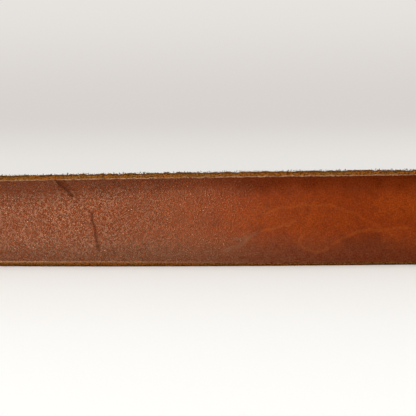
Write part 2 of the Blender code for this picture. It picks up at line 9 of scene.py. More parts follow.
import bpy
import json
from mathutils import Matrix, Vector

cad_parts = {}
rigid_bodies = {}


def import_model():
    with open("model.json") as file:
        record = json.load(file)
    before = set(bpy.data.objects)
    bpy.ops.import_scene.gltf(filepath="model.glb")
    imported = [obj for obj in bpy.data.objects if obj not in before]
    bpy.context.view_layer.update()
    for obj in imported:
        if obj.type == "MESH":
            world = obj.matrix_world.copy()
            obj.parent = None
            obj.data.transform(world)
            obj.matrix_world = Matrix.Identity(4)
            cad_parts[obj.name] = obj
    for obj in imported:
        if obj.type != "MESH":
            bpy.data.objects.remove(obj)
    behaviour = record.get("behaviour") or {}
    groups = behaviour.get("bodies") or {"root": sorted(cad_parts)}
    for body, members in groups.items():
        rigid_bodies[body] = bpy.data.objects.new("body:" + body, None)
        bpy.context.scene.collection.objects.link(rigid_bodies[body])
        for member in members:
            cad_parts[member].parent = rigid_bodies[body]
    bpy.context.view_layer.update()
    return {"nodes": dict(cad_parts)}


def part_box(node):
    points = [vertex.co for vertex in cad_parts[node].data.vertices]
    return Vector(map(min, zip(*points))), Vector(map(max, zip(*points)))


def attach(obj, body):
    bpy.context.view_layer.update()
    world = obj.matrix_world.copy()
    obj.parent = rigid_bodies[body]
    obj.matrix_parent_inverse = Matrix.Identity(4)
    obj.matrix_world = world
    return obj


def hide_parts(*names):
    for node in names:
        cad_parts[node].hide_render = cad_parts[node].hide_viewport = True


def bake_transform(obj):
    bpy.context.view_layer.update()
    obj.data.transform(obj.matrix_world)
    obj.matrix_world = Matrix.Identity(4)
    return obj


bl_info = {
    "name": "Money Belt",
    "version": (1, 0, 0),
    "blender": (4, 5, 0),
    "location": "3D View > Sidebar > Money Belt",
    "description": "Makes the leather, zip, stitching and brass of a money belt",
    "category": "Object",
}

import json
import math

import bmesh
import bpy
from bpy.props import FloatProperty, FloatVectorProperty, IntProperty, PointerProperty
from mathutils import Matrix, Vector, noise

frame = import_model()

# A millimetre in metres, and a metre in millimetres
MM = 0.001
TO_MM = 1000

# The strap's line, in the frame's own measures
STRAP_LENGTH = 1.040
STRAP_THICK = 0.003
FRONT_RADIUS = 0.300
SIDE_RADIUS = 0.105
CORNER_RADIUS = 0.080
HALF_FRONT_TURN = math.radians(34)
BUCKLE_RUN = 0.118
LIFT_TAIL = 0.018
FOLD_THICK = 0.002
PLY_GAP = 0.0003
FLAP_LENGTH = 0.066
SKIVE_LENGTH = 0.020
KEEPER_THICK = 0.0015
TONGUE_START = 0.744

FRONT_RUN = 2 * HALF_FRONT_TURN * FRONT_RADIUS
CORNER_RUN = (math.pi / 2 - HALF_FRONT_TURN) * CORNER_RADIUS
SIDE_RUN = (math.pi - HALF_FRONT_TURN) * SIDE_RADIUS
RUNS = (
    (BUCKLE_RUN, None),
    (CORNER_RUN, CORNER_RADIUS),
    (FRONT_RUN, FRONT_RADIUS),
    (SIDE_RUN, SIDE_RADIUS),
    (STRAP_LENGTH - BUCKLE_RUN - CORNER_RUN - FRONT_RUN - SIDE_RUN, None),
)
FRONT_START = BUCKLE_RUN + CORNER_RUN
FRONT_END = FRONT_START + FRONT_RUN
FRONT_MIDDLE = (FRONT_START + FRONT_END) / 2


def middle_of(node):
    low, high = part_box(node)
    return (low + high) / 2


def height_of(node):
    low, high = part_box(node)
    return high.z - low.z


BAR = middle_of("buckle_bar")
BAR_RADIUS = (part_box("buckle_bar")[1].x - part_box("buckle_bar")[0].x) / 2
BAR_N = STRAP_THICK - FOLD_THICK - PLY_GAP - BAR_RADIUS
STRAP_WIDTH = height_of("strap_tongue")
MID = STRAP_WIDTH / 2
LIFT = BAR.z - MID
START = Vector((BAR.x - BAR_N, BAR.y))
KEEPER_HALF = (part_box("fixed_keeper")[1].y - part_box("fixed_keeper")[0].y) / 2
KEEPER_S = START.y - middle_of("fixed_keeper").y


def smooth(x, low, high):
    """0 below low, 1 above high, and an even rise between them."""
    t = min(1.0, max(0.0, (x - low) / (high - low)))
    return t * t * (3 - 2 * t)


def place(s):
    """(x, y, heading) on the line of the strap's flesh side."""
    x, y, heading = START.x, START.y, -math.pi / 2
    left = s
    for length, radius in RUNS:
        step = min(left, length)
        if radius:
            turned = heading - step / radius
            x += radius * (math.sin(heading) - math.sin(turned))
            y += radius * (math.cos(turned) - math.cos(heading))
            heading = turned
        else:
            x += step * math.cos(heading)
            y += step * math.sin(heading)
        left -= step
        if left <= 0:
            break
    return x + left * math.cos(heading), y + left * math.sin(heading), heading


def at(s, n, z):
    """The world point at s along the strap, n out from its flesh side and z above its lower edge."""
    x, y, heading = place(s)
    lift = LIFT * (1 - smooth(s, BUCKLE_RUN, FRONT_START + LIFT_TAIL))
    return Vector((x - n * math.sin(heading), y + n * math.cos(heading), z + lift))


def spread(start, end, pitch):
    """Even steps from start to end, no longer than pitch."""
    count = max(1, math.ceil((end - start) / pitch))
    return [start + (end - start) * k / count for k in range(count + 1)]


# ---- settings ---------------------------------------------------------------------------------


def colour_property(name, description, default):
    return FloatVectorProperty(
        name=name, description=description, default=default, subtype="COLOR", size=3, min=0, max=1
    )


def length_property(name, description, default):
    return FloatProperty(name=name, description=description, default=default, unit="LENGTH", min=0)


class LeatherSettings(bpy.types.PropertyGroup):
    """Sizes and colours of the strap leather."""

    bevel: length_property("Bevel", "Width of the raw bevel along each edge", 1.3 * MM)
    lip: length_property("Lip", "Width of the worn rim where the grain meets the bevel", 0.45 * MM)
    grain: length_property("Grain", "Size of the pebbles of the grain", 0.58 * MM)
    pitch: length_property("Mesh pitch", "Longest step of the mesh along the front curve", 0.6 * MM)
    dye: colour_property("Dye", "Middle of the strap, where the dye is brightest", (0.245, 0.0315, 0.0020))
    # Darker brown of the dark patches, and of both edges, where it is part burnished dye and part painted
    # shade
    burnish_and_shade: colour_property("Burnish", "Darker dye along the edges", (0.110, 0.0135, 0.0012))
    glow: colour_property("Glow", "Brighter patches of the dye", (0.312, 0.0480, 0.0032))
    # Grey of the greyed scratches, and of the painted reflection of the pale floor along the lower part
    scuff_and_reflection: colour_property("Wax", "Greyed wax of the lower part", (0.195, 0.080, 0.042))
    # Pale rim: part rubbed wear and part painted highlight along the rounded corner
    rim: colour_property("Worn rim", "Rubbed rim of the grain", (0.540, 0.290, 0.155))
    raw: colour_property("Raw edge", "Cut fibres of the edge", (0.380, 0.118, 0.015))
    raw_dark: colour_property("Raw edge, dark", "Shadowed fibres of the edge", (0.085, 0.026, 0.004))
    olive: colour_property("Raw edge, olive", "Cut fibres stained by the dye", (0.290, 0.148, 0.030))
    flesh: colour_property("Flesh side", "Inside of the leather", (0.270, 0.110, 0.045))


class FibreSettings(bpy.types.PropertyGroup):
    """The loose fibres of the raw edges."""

    density: FloatProperty(name="Density", description="Fibres to each metre of edge", default=2200, min=0)
    length: length_property("Length", "Longest fibre", 0.90 * MM)
    radius: length_property("Radius", "Radius of a fibre's root", 0.23 * MM)
    seed: IntProperty(name="Seed", description="Seed of the fibres' lean and length", default=7)


class PocketSettings(bpy.types.PropertyGroup):
    """Sizes and colours of the pocket and its zip."""

    coil_pitch: length_property("Coil pitch", "Distance from one turn of a coil to the next", 1.15 * MM)
    wire: length_property("Coil wire", "Radius of the coil's nylon wire", 0.3 * MM)
    stitch: length_property("Stitch", "Length of one stitch of the window's seam", 3.0 * MM)
    thread: length_property("Thread", "Radius of the thread", 0.34 * MM)
    lining: colour_property("Lining", "Leather of the pocket panel", (0.300, 0.125, 0.050))
    tape: colour_property("Tape", "Woven tape of the zip", (0.050, 0.024, 0.013))
    coil: colour_property("Coil", "Nylon of the zip's coils", (0.060, 0.028, 0.014))
    seam: colour_property("Seam", "Waxed thread", (0.480, 0.300, 0.130))


class MetalSettings(bpy.types.PropertyGroup):
    """Colours and finish of the metal parts."""

    brass: colour_property("Brass", "Rubbed faces of the brass", (0.520, 0.350, 0.140))
    tarnish: colour_property("Tarnish", "Aged brass away from wear", (0.200, 0.115, 0.045))
    steel: colour_property("Steel", "Plated steel of the bar and staple", (0.560, 0.530, 0.480))
    softening: length_property("Edge softening", "Radius of the edges of the small castings", 0.16 * MM)


class StageSettings(bpy.types.PropertyGroup):
    """The floor, the lights and the camera."""

    distance: length_property("Camera distance", "From the camera to the front of the belt", 0.950)
    height: length_property("Camera height", "Height of the camera over the floor", 0.0236)
    lens: FloatProperty(name="Lens", description="Focal length", default=205.2, unit="CAMERA", min=1)
    roll: FloatProperty(
        name="Roll", description="Roll of the camera", default=math.radians(-0.62), unit="ROTATION"
    )
    floor: colour_property("Floor", "Colour of the floor", (0.93, 0.895, 0.86))


SETTINGS = {
    "belt_leather": LeatherSettings,
    "belt_fibres": FibreSettings,
    "belt_pocket": PocketSettings,
    "belt_metal": MetalSettings,
    "belt_stage": StageSettings,
}


# ---- node trees -------------------------------------------------------------------------------


class Tree:
    """Adds nodes to one node tree. A value given for a socket is either a number or another socket."""

    def __init__(self, tree):
        self.tree = tree

    def give(self, socket, value):
        if isinstance(value, bpy.types.NodeSocket):
            self.tree.links.new(value, socket)
        else:
            socket.default_value = value

    def node(self, kind, inputs=None, **settings):
        made = self.tree.nodes.new(kind)
        for name, value in settings.items():
            setattr(made, name, value)
        for key, value in (inputs or {}).items():
            self.give(made.inputs[key], value)
        return made

    def out(self, kind, inputs=None, **settings):
        """The first output of a new node."""
        return self.node(kind, inputs, **settings).outputs[0]

    def place(self, space="Object"):
        return self.node("ShaderNodeTexCoord").outputs[space]

    def calc(self, operation, *values, clamp=False):
        """The values joined two by two from the first on, or one value alone."""
        if len(values) > 2:
            values = (self.calc(operation, *values[:-1], clamp=clamp), values[-1])
        return self.out("ShaderNodeMath", dict(enumerate(values)), operation=operation, use_clamp=clamp)

    def plus(self, *values, clamp=False):
        return self.calc("ADD", *values, clamp=clamp)

    def minus(self, a, b):
        return self.calc("SUBTRACT", a, b)

    def times(self, *values):
        return self.calc("MULTIPLY", *values)

    def vector(self, operation, a, b):
        return self.out("ShaderNodeVectorMath", {0: a, 1: b}, operation=operation)

    def fade(self, value, low, high, to_low=0.0, to_high=1.0):
        """value taken smoothly from low..high to to_low..to_high, and held outside them."""
        names = {"Value": value, "From Min": low, "From Max": high, "To Min": to_low, "To Max": to_high}
        return self.out("ShaderNodeMapRange", names, interpolation_type="SMOOTHSTEP")

    def mix(self, factor, a, b, blend="MIX"):
        """Two colours, mixed. Each is a socket or three numbers."""
        a, b = (c if isinstance(c, bpy.types.NodeSocket) else (*c, 1) for c in (a, b))
        names = {0: factor, 6: a, 7: b}
        return self.node("ShaderNodeMix", names, data_type="RGBA", blend_type=blend).outputs[2]

    def noise(self, vector, scale, detail=2.0, roughness=0.5):
        names = {"Vector": vector, "Scale": scale, "Detail": detail, "Roughness": roughness}
        return self.out("ShaderNodeTexNoise", names)

    def cells(self, vector, scale, feature="F1"):
        return self.out("ShaderNodeTexVoronoi", {"Vector": vector, "Scale": scale}, feature=feature)

    def combine(self, x, y, z=0.0):
        return self.out("ShaderNodeCombineXYZ", {0: x, 1: y, 2: z})

    def separate(self, vector):
        return self.node("ShaderNodeSeparateXYZ", {0: vector}).outputs


def scaled(colour, share):
    return [share * c for c in colour]


def new_material(name):
    """An empty material with a shader, and the Tree that adds to it."""
    made = bpy.data.materials.new(name)
    made.use_nodes = True
    shader = made.node_tree.nodes["Principled BSDF"]
    return made, Tree(made.node_tree), shader


def finish_shader(tree, shader, colour, roughness, height, depth, strength=1.0, **more):
    """Joins colour, roughness and bump to the shader. More sockets go by their names, with _ for a space."""
    bump = tree.out("ShaderNodeBump", {"Height": height, "Distance": depth, "Strength": strength})
    sockets = {"Base Color": colour, "Roughness": roughness, "Normal": bump}
    for key, value in {**sockets, **more}.items():
        tree.give(shader.inputs[key.replace("_", " ")], value)


# Marks on the front curve, in millimetres: (width, weight, points), each point as a distance from
# the front's middle towards the tip and a height over the strap's middle line. They count from
# MARKS_START to MARKS_END, and the strap's mesh is fine from MARKS_START to FINE_END
MARKS_START, MARKS_END, FINE_END = -14, 150, 170
CREASES = (
    (1.00, 1.00, ((144.2, 17.6), (140.0, 13.6), (136.0, 10.4))),
    (0.90, 0.30, ((136.0, 10.4), (130.0, 5.0), (127.2, 2.8))),
    (0.90, 0.80, ((127.2, 2.8), (125.6, -4.0), (123.8, -12.4))),
    (0.90, 0.45, ((140.8, 16.6), (136.8, 13.2), (134.8, 12.6))),
    (0.80, 0.35, ((118.0, -9.0), (116.5, -15.0))),
)
PALE_SCRATCHES = (
    (1.30, 0.60, ((69.5, -12.6), (64.0, -10.6), (60.2, -8.0), (57.5, -6.2))),
    (0.80, 0.65, ((66.0, -8.2), (61.5, -7.4), (57.0, -6.0))),
    (0.80, 0.40, ((100.0, -13.0), (94.0, -14.5), (88.0, -14.0))),
)
BRIGHT_SCRATCHES = (
    (0.90, 0.70, ((54.5, -4.6), (48.0, -3.4), (43.0, -2.2), (41.2, -0.9))),
    (0.80, 0.55, ((53.0, 2.4), (47.0, 4.2), (38.0, 5.4), (28.0, 5.2))),
    (0.80, 0.45, ((28.0, 5.2), (19.0, 2.6), (12.0, -1.4), (3.0, -6.6))),
    (0.85, 0.60, ((38.6, -6.8), (39.8, -9.6), (38.0, -12.4), (33.0, -13.4), (28.2, -12.2))),
    (0.85, 0.55, ((26.0, -10.6), (19.6, -6.6), (12.0, -4.8), (4.0, -5.0), (-3.0, -4.0))),
    (0.80, 0.50, ((62.4, -5.6), (60.6, -8.4), (61.8, -11.2))),
    (0.90, 0.70, ((6.0, -9.2), (5.4, -9.4))),
    (0.80, 0.40, ((84.0, 3.0), (78.0, 5.0), (71.0, 5.2))),
)
BRIGHT_PATCHES = (
    (8.5, 0.60, ((66.0, 2.0), (52.0, 1.0))),
    (8.0, 0.65, ((5.0, 5.5), (-10.0, 4.0))),
    (6.5, 0.35, ((34.0, 3.0), (24.0, -1.5))),
    (7.0, 0.35, ((96.0, 6.0), (84.0, 2.0))),
)
DARK_PATCHES = (
    (6.5, 0.60, ((19.0, -10.5), (7.0, -11.0))),
    (6.0, 0.40, ((122.0, 12.5), (112.0, 13.5))),
    (6.0, 0.40, ((62.0, 13.5), (52.0, 14.5))),
    (5.5, 0.30, ((20.0, 12.5), (10.0, 12.0))),
)


def mark_at(spot, marks):
    """The strongest of the marks at a spot: 1 in the middle of a mark and 0 past its width."""
    strongest = 0.0
    for width, weight, points in marks:
        for start, end in zip(points, points[1:]):
            line_x, line_y = end[0] - start[0], end[1] - start[1]
            from_x, from_y = spot[0] - start[0], spot[1] - start[1]
            share = (from_x * line_x + from_y * line_y) / (line_x**2 + line_y**2)
            share = min(1.0, max(0.0, share))
            away = math.hypot(from_x - share * line_x, from_y - share * line_y)
            if away < width:
                strongest = max(strongest, weight * (1 - smooth(away, 0.15 * width, width)))
    return strongest


def wear_at(s, across):
    """Marks of use at a place on the grain side, as (creased, greyed, scratched) and (bright, dark, 0)."""
    along = (s - FRONT_MIDDLE) / MM
    if not MARKS_START < along < MARKS_END:
        return (0, 0, 0), (0, 0, 0)
    wobble = noise.noise_vector(Vector((along * 0.4, across * 0.4, 5.0)))
    spot = (along + 0.7 * wobble.x, across + 0.7 * wobble.y)
    lines = tuple(mark_at(spot, marks) for marks in (CREASES, PALE_SCRATCHES, BRIGHT_SCRATCHES))
    spot = (along + 4 * wobble.x, across + 4 * wobble.y)
    return lines, (mark_at(spot, BRIGHT_PATCHES), mark_at(spot, DARK_PATCHES), 0)


# ---- materials --------------------------------------------------------------------------------


def strap_material(settings):
    """Antiqued strap leather, with painted shade, painted glints and a painted floor reflection on its
    grain: grain side, rim (part worn, part painted highlight), raw bevelled edge and flesh side, told apart
    across.
    """
    made, tree, shader = new_material("belt_grain")
    uv = tree.separate(tree.out("ShaderNodeUVMap", uv_map="strap"))
    along = tree.times(tree.minus(uv[0], FRONT_MIDDLE), TO_MM)
    across = tree.times(uv[1], TO_MM)
    flat = tree.combine(along, across)
    half = MID * TO_MM

    broad = tree.noise(flat, 0.040, 3.0, 0.55)
    cloud = tree.noise(tree.vector("ADD", flat, (40, 90, 0)), 0.12, 4.0, 0.6)
    mottle = tree.noise(tree.vector("ADD", flat, (15, 60, 0)), 0.42, 4.0, 0.68)
    fine = tree.noise(flat, 1.5, 3.0, 0.65)
    pores = tree.noise(flat, 3.6)
    warp = tree.node("ShaderNodeTexNoise", {"Vector": flat, "Scale": 1.1, "Detail": 2.0}).outputs["Color"]
    wobble = tree.vector("SUBTRACT", warp, (0.5, 0.5, 0.5))
    warped = tree.vector("ADD", flat, tree.vector("MULTIPLY", wobble, (0.4, 0.4, 0)))
    lines, patches = (
        tree.separate(tree.node("ShaderNodeAttribute", attribute_name=name).outputs["Vector"])
        for name in ("lines", "patches")
    )
    size = 1 / (settings.grain * TO_MM)
    pebbles = tree.cells(warped, size)
    furrows = tree.cells(warped, size * 0.7, "DISTANCE_TO_EDGE")

    # Dye: bright in the middle and a little patchy everywhere. It turns darker towards both edges, which is
    # part burnished dye and part painted shade of the rounded face
    glowing = tree.plus(tree.fade(broad, 0.48, 0.70, 0.0, 0.45), patches[0], clamp=True)
    grain = tree.mix(glowing, settings.dye, settings.glow)
    grain = tree.mix(tree.fade(mottle, 0.50, 0.74, 0.0, 0.40), grain, settings.glow)
    wander = tree.plus(tree.times(tree.minus(cloud, 0.5), 9.0), tree.times(tree.minus(mottle, 0.5), 3.0))
    below_top = tree.plus(tree.minus(half, across), wander)
    above_low = tree.plus(half, across, wander)
    # Painted shade at the upper edge: it reaches further in towards the tip
    dark_top = tree.fade(below_top, 2.0, tree.fade(along, 80, 165, 11.5, 17.0), 0.96, 0.0)
    dark_low = tree.fade(above_low, 1.0, 14.0, 0.86, 0.0)
    for share in (
        tree.fade(mottle, 0.50, 0.28, 0.0, 0.42),
        tree.fade(cloud, 0.54, 0.76, 0.0, 0.35),
        patches[1],
        tree.calc("MAXIMUM", dark_top, dark_low),
    ):
        grain = tree.mix(share, grain, settings.burnish_and_shade)

    # A painted reflection of the pale floor greys the lower part, more and more towards the tip
    scuff_and_reflection = tree.times(
        tree.fade(above_low, 17.0, 4.0),
        tree.fade(along, -15, 115, 0.24, 0.60),
        tree.fade(along, 115, 165, 1.0, 0.50),
        tree.fade(mottle, 0.3, 0.62, 0.45, 1.0),
    )
    grain = tree.mix(scuff_and_reflection, grain, settings.scuff_and_reflection)

    # Dark furrows, part antique dye in the grain's hollows and part painted shade; pale pebble tops, a
    # little rubbed wear and mostly painted glints of the sheen. Both grow stronger towards the tip, and the
    # glints also towards the lower edge
    furrowed = tree.fade(furrows, 0.02, 0.20, tree.fade(along, 50, 110, 0.26, 0.76), 0.0)
    grain = tree.mix(furrowed, grain, (0.062, 0.012, 0.002))
    tops = tree.times(
        tree.fade(pebbles, 0.12, 0.38, 1.0, 0.0),
        tree.fade(along, 50, 105, 0.06, 0.56),
        tree.fade(above_low, 16.0, 5.0, 1.0, 1.45),
    )
    grain = tree.mix(tops, grain, (0.520, 0.130, 0.034))
    speckle = tree.fade(fine, 0.29, 0.71, 0.70, 1.32)
    grain = tree.mix(1.0, grain, tree.combine(speckle, speckle, speckle), "MULTIPLY")

    # Marks of use: creases, the greyed scratches and the bright ones
    grain = tree.mix(tree.times(lines[0], 0.60), grain, (0.034, 0.010, 0.005))
    grain = tree.mix(tree.times(lines[1], 0.80), grain, settings.scuff_and_reflection)
    grain = tree.mix(tree.times(lines[2], 0.42), grain, (0.400, 0.090, 0.012))

    # Rim, part worn and part painted highlight along the rounded corner, full on the upper edge and on the
    # lower edge growing towards the tip; then the raw bevel, then the square cut edge and the flesh side
    tremble = tree.plus(tree.times(tree.minus(mottle, 0.5), 0.7), tree.times(tree.minus(fine, 0.5), 0.5))
    outwards = tree.minus(tree.plus(tree.calc("ABSOLUTE", across), tremble), half)
    bevel, lip = settings.bevel * TO_MM, settings.lip * TO_MM
    spread_in = tree.fade(across, -1, 1, tree.fade(along, 30, 130, -0.25, 0.40), 0.40)
    past_bevel = tree.plus(outwards, bevel, spread_in)
    rim = tree.times(
        tree.fade(past_bevel, -lip - 0.2, -lip + 0.25),
        tree.fade(across, -1, 1, tree.fade(along, 50, 170, 0.05, 0.85), 0.95),
        tree.fade(fine, 0.30, 0.58, 0.25, 1.0),
        tree.fade(cloud, 0.34, 0.56, 0.55, 1.0),
    )
    colour = tree.mix(rim, grain, settings.rim)

    long_way = tree.combine(tree.times(along, 0.30), tree.times(across, 2.0))
    streaks = tree.noise(long_way, 2.4, 4.0, 0.7)
    tufts = tree.noise(flat, 1.35, 4.0, 0.75)
    ragged = tree.plus(tree.times(streaks, 0.2), tree.times(tufts, 0.8))
    raw = tree.mix(tree.fade(ragged, 0.44, 0.53), settings.raw_dark, settings.raw)
    dull = tree.mix(tree.fade(ragged, 0.42, 0.56), settings.raw_dark, settings.olive)
    raw = tree.mix(tree.fade(broad, 0.42, 0.66, 0.0, 0.55), raw, dull)
    tufted = tree.times(tree.fade(outwards, -0.75, -0.05), tree.fade(tufts, 0.58, 0.46, 0.25, 1.0))
    raw = tree.mix(tree.times(tufted, 0.8), raw, settings.raw_dark)
    is_raw = tree.fade(past_bevel, -0.12, 0.12)
    colour = tree.mix(is_raw, colour, raw)

    nap = tree.noise(flat, 2.2, 5.0, 0.7)
    flesh = tree.mix(tree.fade(nap, 0.3, 0.7), scaled(settings.flesh, 0.62), settings.flesh)
    flesh = tree.mix(tree.fade(broad, 0.35, 0.7, 0.0, 0.4), flesh, scaled(settings.flesh, 0.55))
    is_flesh = tree.fade(outwards, bevel * 1.35, bevel * 1.6)
    colour = tree.mix(is_flesh, colour, flesh)

    # Roughness, relief and shine: the pebbles catch the light, the raw edge and the creases don't
    gloss = tree.plus(tree.fade(pebbles, 0.1, 0.6, 0.18, 0.46), tree.fade(cloud, 0.35, 0.7, -0.03, 0.08))
    matt = tree.calc("MAXIMUM", is_raw, tree.times(rim, 0.6))
    roughness = tree.plus(gloss, tree.times(matt, 0.5), clamp=True)
    height = tree.plus(
        tree.times(tree.fade(pebbles, 0.0, 0.70, 1.0, 0.0), tree.fade(along, 50, 110, 0.45, 1.0)),
        tree.fade(furrows, 0.0, 0.16, 0.0, 0.12),
        tree.times(pores, 0.30),
        tree.times(matt, tree.times(ragged, 3.0)),
    )
    darkest = tree.calc("MAXIMUM", dark_top, tree.times(dark_low, 0.8))
    shine = tree.times(
        tree.fade(is_raw, 0, 1, 0.22, 0.03),
        tree.fade(darkest, 0.1, 0.9, 1.0, 0.40),
        tree.fade(along, 35, 110, 0.45, 1.0),
        tree.fade(lines[0], 0.0, 0.6, 1.0, 0.30),
    )
    finish_shader(
        tree,
        shader,
        colour,
        roughness,
        height,
        0.20 * MM,
        Specular_IOR_Level=shine,
        Specular_Tint=(1.0, 0.64, 0.36, 1.0),
    )
    return made


def punched_material(settings):
    """Burnished wall of a punched hole or slot."""
    made, tree, shader = new_material("belt_punched")
    spot = tree.place()
    ragged = tree.noise(spot, 2600, 4.0, 0.7)
    colour = tree.mix(tree.fade(ragged, 0.35, 0.65), settings.raw_dark, settings.raw)
    finish_shader(tree, shader, colour, 0.8, ragged, 0.15 * MM)
    return made


def lining_material(name, colour, grain_size):
    """Smooth lining leather, read in object space."""
    made, tree, shader = new_material(name)
    spot = tree.place()
    pebbles = tree.cells(spot, 1 / grain_size, "SMOOTH_F1")
    cloud = tree.noise(spot, 38, 4.0, 0.6)
    fine = tree.noise(spot, 1500, 3.0, 0.6)
    dark = scaled(colour, 0.55)
    tone = tree.mix(tree.fade(cloud, 0.35, 0.68), dark, colour)
    tone = tree.mix(tree.fade(pebbles, 0.35, 0.8, 0.0, 0.5), tone, scaled(colour, 0.35))
    speckle = tree.fade(fine, 0.3, 0.7, 0.85, 1.12)
    tone = tree.mix(1.0, tone, tree.combine(speckle, speckle, speckle), "MULTIPLY")
    height = tree.minus(tree.times(fine, 0.4), pebbles)
    roughness = tree.fade(cloud, 0.3, 0.7, 0.52, 0.68)
    finish_shader(tree, shader, tone, roughness, height, 0.12 * MM, 0.8, Specular_IOR_Level=0.35)
    return made


def tape_material(settings):
    """Twill tape, woven along its UV map."""
    made, tree, shader = new_material("belt_tape")
    uv = tree.separate(tree.out("ShaderNodeUVMap", uv_map="weave"))
    along = tree.times(uv[0], TO_MM)
    across = tree.times(uv[1], TO_MM)
    slant = tree.plus(tree.times(along, 2.0), tree.calc("PINGPONG", tree.times(across, 2.0), 3.0))
    ridge = tree.calc("SINE", tree.times(slant, math.tau / 1.1))
    yarn = tree.calc("SINE", tree.times(across, math.tau / 0.34))
    weave = tree.plus(tree.times(ridge, 0.6), tree.times(yarn, 0.4))
    lint = tree.noise(tree.combine(along, across), 3.0, 3.0, 0.7)
    light = scaled(settings.tape, 2.1)
    colour = tree.mix(tree.fade(weave, -0.9, 0.9), settings.tape, light)
    colour = tree.mix(tree.fade(lint, 0.55, 0.8, 0.0, 0.5), colour, scaled(settings.tape, 3.2))
    finish_shader(tree, shader, colour, 0.85, weave, 0.12 * MM, 0.9, Sheen_Weight=0.3, Sheen_Roughness=0.5)
    return made


def nylon_material(settings):
    """Smooth nylon of the coils, scuffed in places."""
    made, tree, shader = new_material("belt_coil")
    spot = tree.place()
    worn = tree.noise(spot, 220, 3.0, 0.6)
    colour = tree.mix(tree.fade(worn, 0.4, 0.7), settings.coil, scaled(settings.coil, 1.9))
    scuffs = tree.noise(spot, 2400, 2.0, 0.5)
    finish_shader(tree, shader, colour, tree.fade(worn, 0.3, 0.7, 0.28, 0.45), scuffs, 0.02 * MM)
    return made


def thread_material(name, colour, twist):
    """Waxed twisted thread. Its plies follow the sum of the three axes of object space."""
    made, tree, shader = new_material(name)
    spot = tree.place()
    run = tree.plus(*tree.separate(spot))
    ply = tree.calc("SINE", tree.times(run, math.tau / twist))
    lint = tree.noise(spot, 3200, 3.0, 0.7)
    tone = tree.mix(tree.fade(ply, -1, 1), scaled(colour, 0.6), colour)
    tone = tree.mix(tree.fade(lint, 0.4, 0.75, 0.0, 0.35), tone, scaled(colour, 0.4))
    finish_shader(tree, shader, tone, 0.6, ply, 0.06 * MM, 0.8)
    return made


def metal_material(name, bright, dull, grain_size):
    """Cast metal with tarnish in patches, rubbed bright where it is touched, and fine polishing marks."""
    made, tree, shader = new_material(name)
    spot = tree.place()
    patches = tree.noise(spot, 95, 5.0, 0.62)
    specks = tree.noise(spot, 900, 3.0, 0.6)
    lines = tree.noise(tree.vector("MULTIPLY", spot, (1.0, 1.0, 14.0)), 420, 3.0, 0.6)
    pits = tree.cells(spot, 1 / grain_size)
    aged = tree.plus(tree.fade(patches, 0.38, 0.66), tree.fade(specks, 0.55, 0.8, 0.0, 0.35), clamp=True)
    colour = tree.mix(aged, bright, dull)
    roughness = tree.plus(tree.fade(aged, 0, 1, 0.24, 0.46), tree.fade(lines, 0.4, 0.7, 0.0, 0.1))
    height = tree.plus(
        tree.times(lines, 0.35), tree.fade(pits, 0.0, 0.22, 0.0, 0.5), tree.times(specks, 0.3)
    )
    finish_shader(tree, shader, colour, roughness, height, 0.03 * MM, 0.7, Metallic=1.0)
    return made


def make_materials(scene):
    """All of the belt's materials, by name."""
    leather, pocket, metal = scene.belt_leather, scene.belt_pocket, scene.belt_metal
    strap_material(leather)
    punched_material(leather)
    lining_material("belt_lining", pocket.lining, 0.55 * MM)
    lining_material("belt_keeper", (0.165, 0.036, 0.008), 0.7 * MM)
    lining_material("belt_fibre", scaled(leather.raw, 0.30), 0.35 * MM)
    tape_material(pocket)
    nylon_material(pocket)
    thread_material("belt_thread", pocket.seam, 0.9 * MM)
    metal_material("belt_brass", metal.brass, metal.tarnish, 0.5 * MM)
    metal_material("belt_steel", metal.steel, scaled(metal.steel, 0.45), 0.4 * MM)


# ---- meshes -----------------------------------------------------------------------------------


def new_piece(name, mesh, *materials, smooth_angle=40):
    """An object at the origin from a bmesh, its faces pointing out, shaded smooth up to an angle."""
    data = bpy.data.meshes.new(name)
    mesh.to_mesh(data)
    mesh.free()
    for finish in materials:
        data.materials.append(bpy.data.materials[finish])
    data.shade_smooth()
    data.set_sharp_from_angle(angle=math.radians(smooth_angle))
    made = bpy.data.objects.new(name, data)
    bpy.context.scene.collection.objects.link(made)
    return made


def flatten(made):
    """Turns a piece with modifiers into a plain mesh of its evaluated shape."""
    graph = bpy.context.evaluated_depsgraph_get()
    data = bpy.data.meshes.new_from_object(made.evaluated_get(graph))
    made.modifiers.clear()
    made.data = data
    return made


def settle(made, body, slot, *nodes):
    """The piece rides on a body and stands for its nodes, which are hidden. The slot is not used."""
    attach(made, body)
    if nodes:
        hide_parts(*nodes)
    return made


def loft(rings, closed=True, worn=False):
    """A bmesh through rings of (point, u, v), capped at both ends, with a UV map and perhaps marks of wear.

    A face across the middle of the flesh side has v of both signs far from 0, so it takes v without sign."""
    mesh = bmesh.new()
    uv = mesh.loops.layers.uv.new("strap")
    lines = mesh.verts.layers.float_vector.new("lines")
    patches = mesh.verts.layers.float_vector.new("patches")
    loops = [[mesh.verts.new(point) for point, _, _ in ring] for ring in rings]
    if worn:
        for ring, verts in zip(rings, loops):
            for (_, u, v), vert in zip(ring, verts):
                if abs(v) < MID:
                    vert[lines], vert[patches] = wear_at(u, v / MM)
    count = len(rings[0])
    last = count if closed else count - 1
    for k, (low, high) in enumerate(zip(loops, loops[1:])):
        for j in range(last):
            after = (j + 1) % count
            face = mesh.faces.new((low[j], low[after], high[after], high[j]))
            corners = (rings[k][j], rings[k][after], rings[k + 1][after], rings[k + 1][j])
            across = [v for _, _, v in corners]
            if min(across) < 0 < max(across) and min(abs(v) for v in across) > 2 * MM:
                across = [abs(v) for v in across]
            for loop, (_, u, _), v in zip(face.loops, corners, across):
                loop[uv].uv = (u, v)
    for ring, verts in ((rings[0], loops[0]), (rings[-1], loops[-1])):
        face = mesh.faces.new(verts)
        for loop, (_, u, v) in zip(face.loops, ring):
            loop[uv].uv = (u, v)
    bmesh.ops.recalc_face_normals(mesh, faces=mesh.faces)
    return mesh


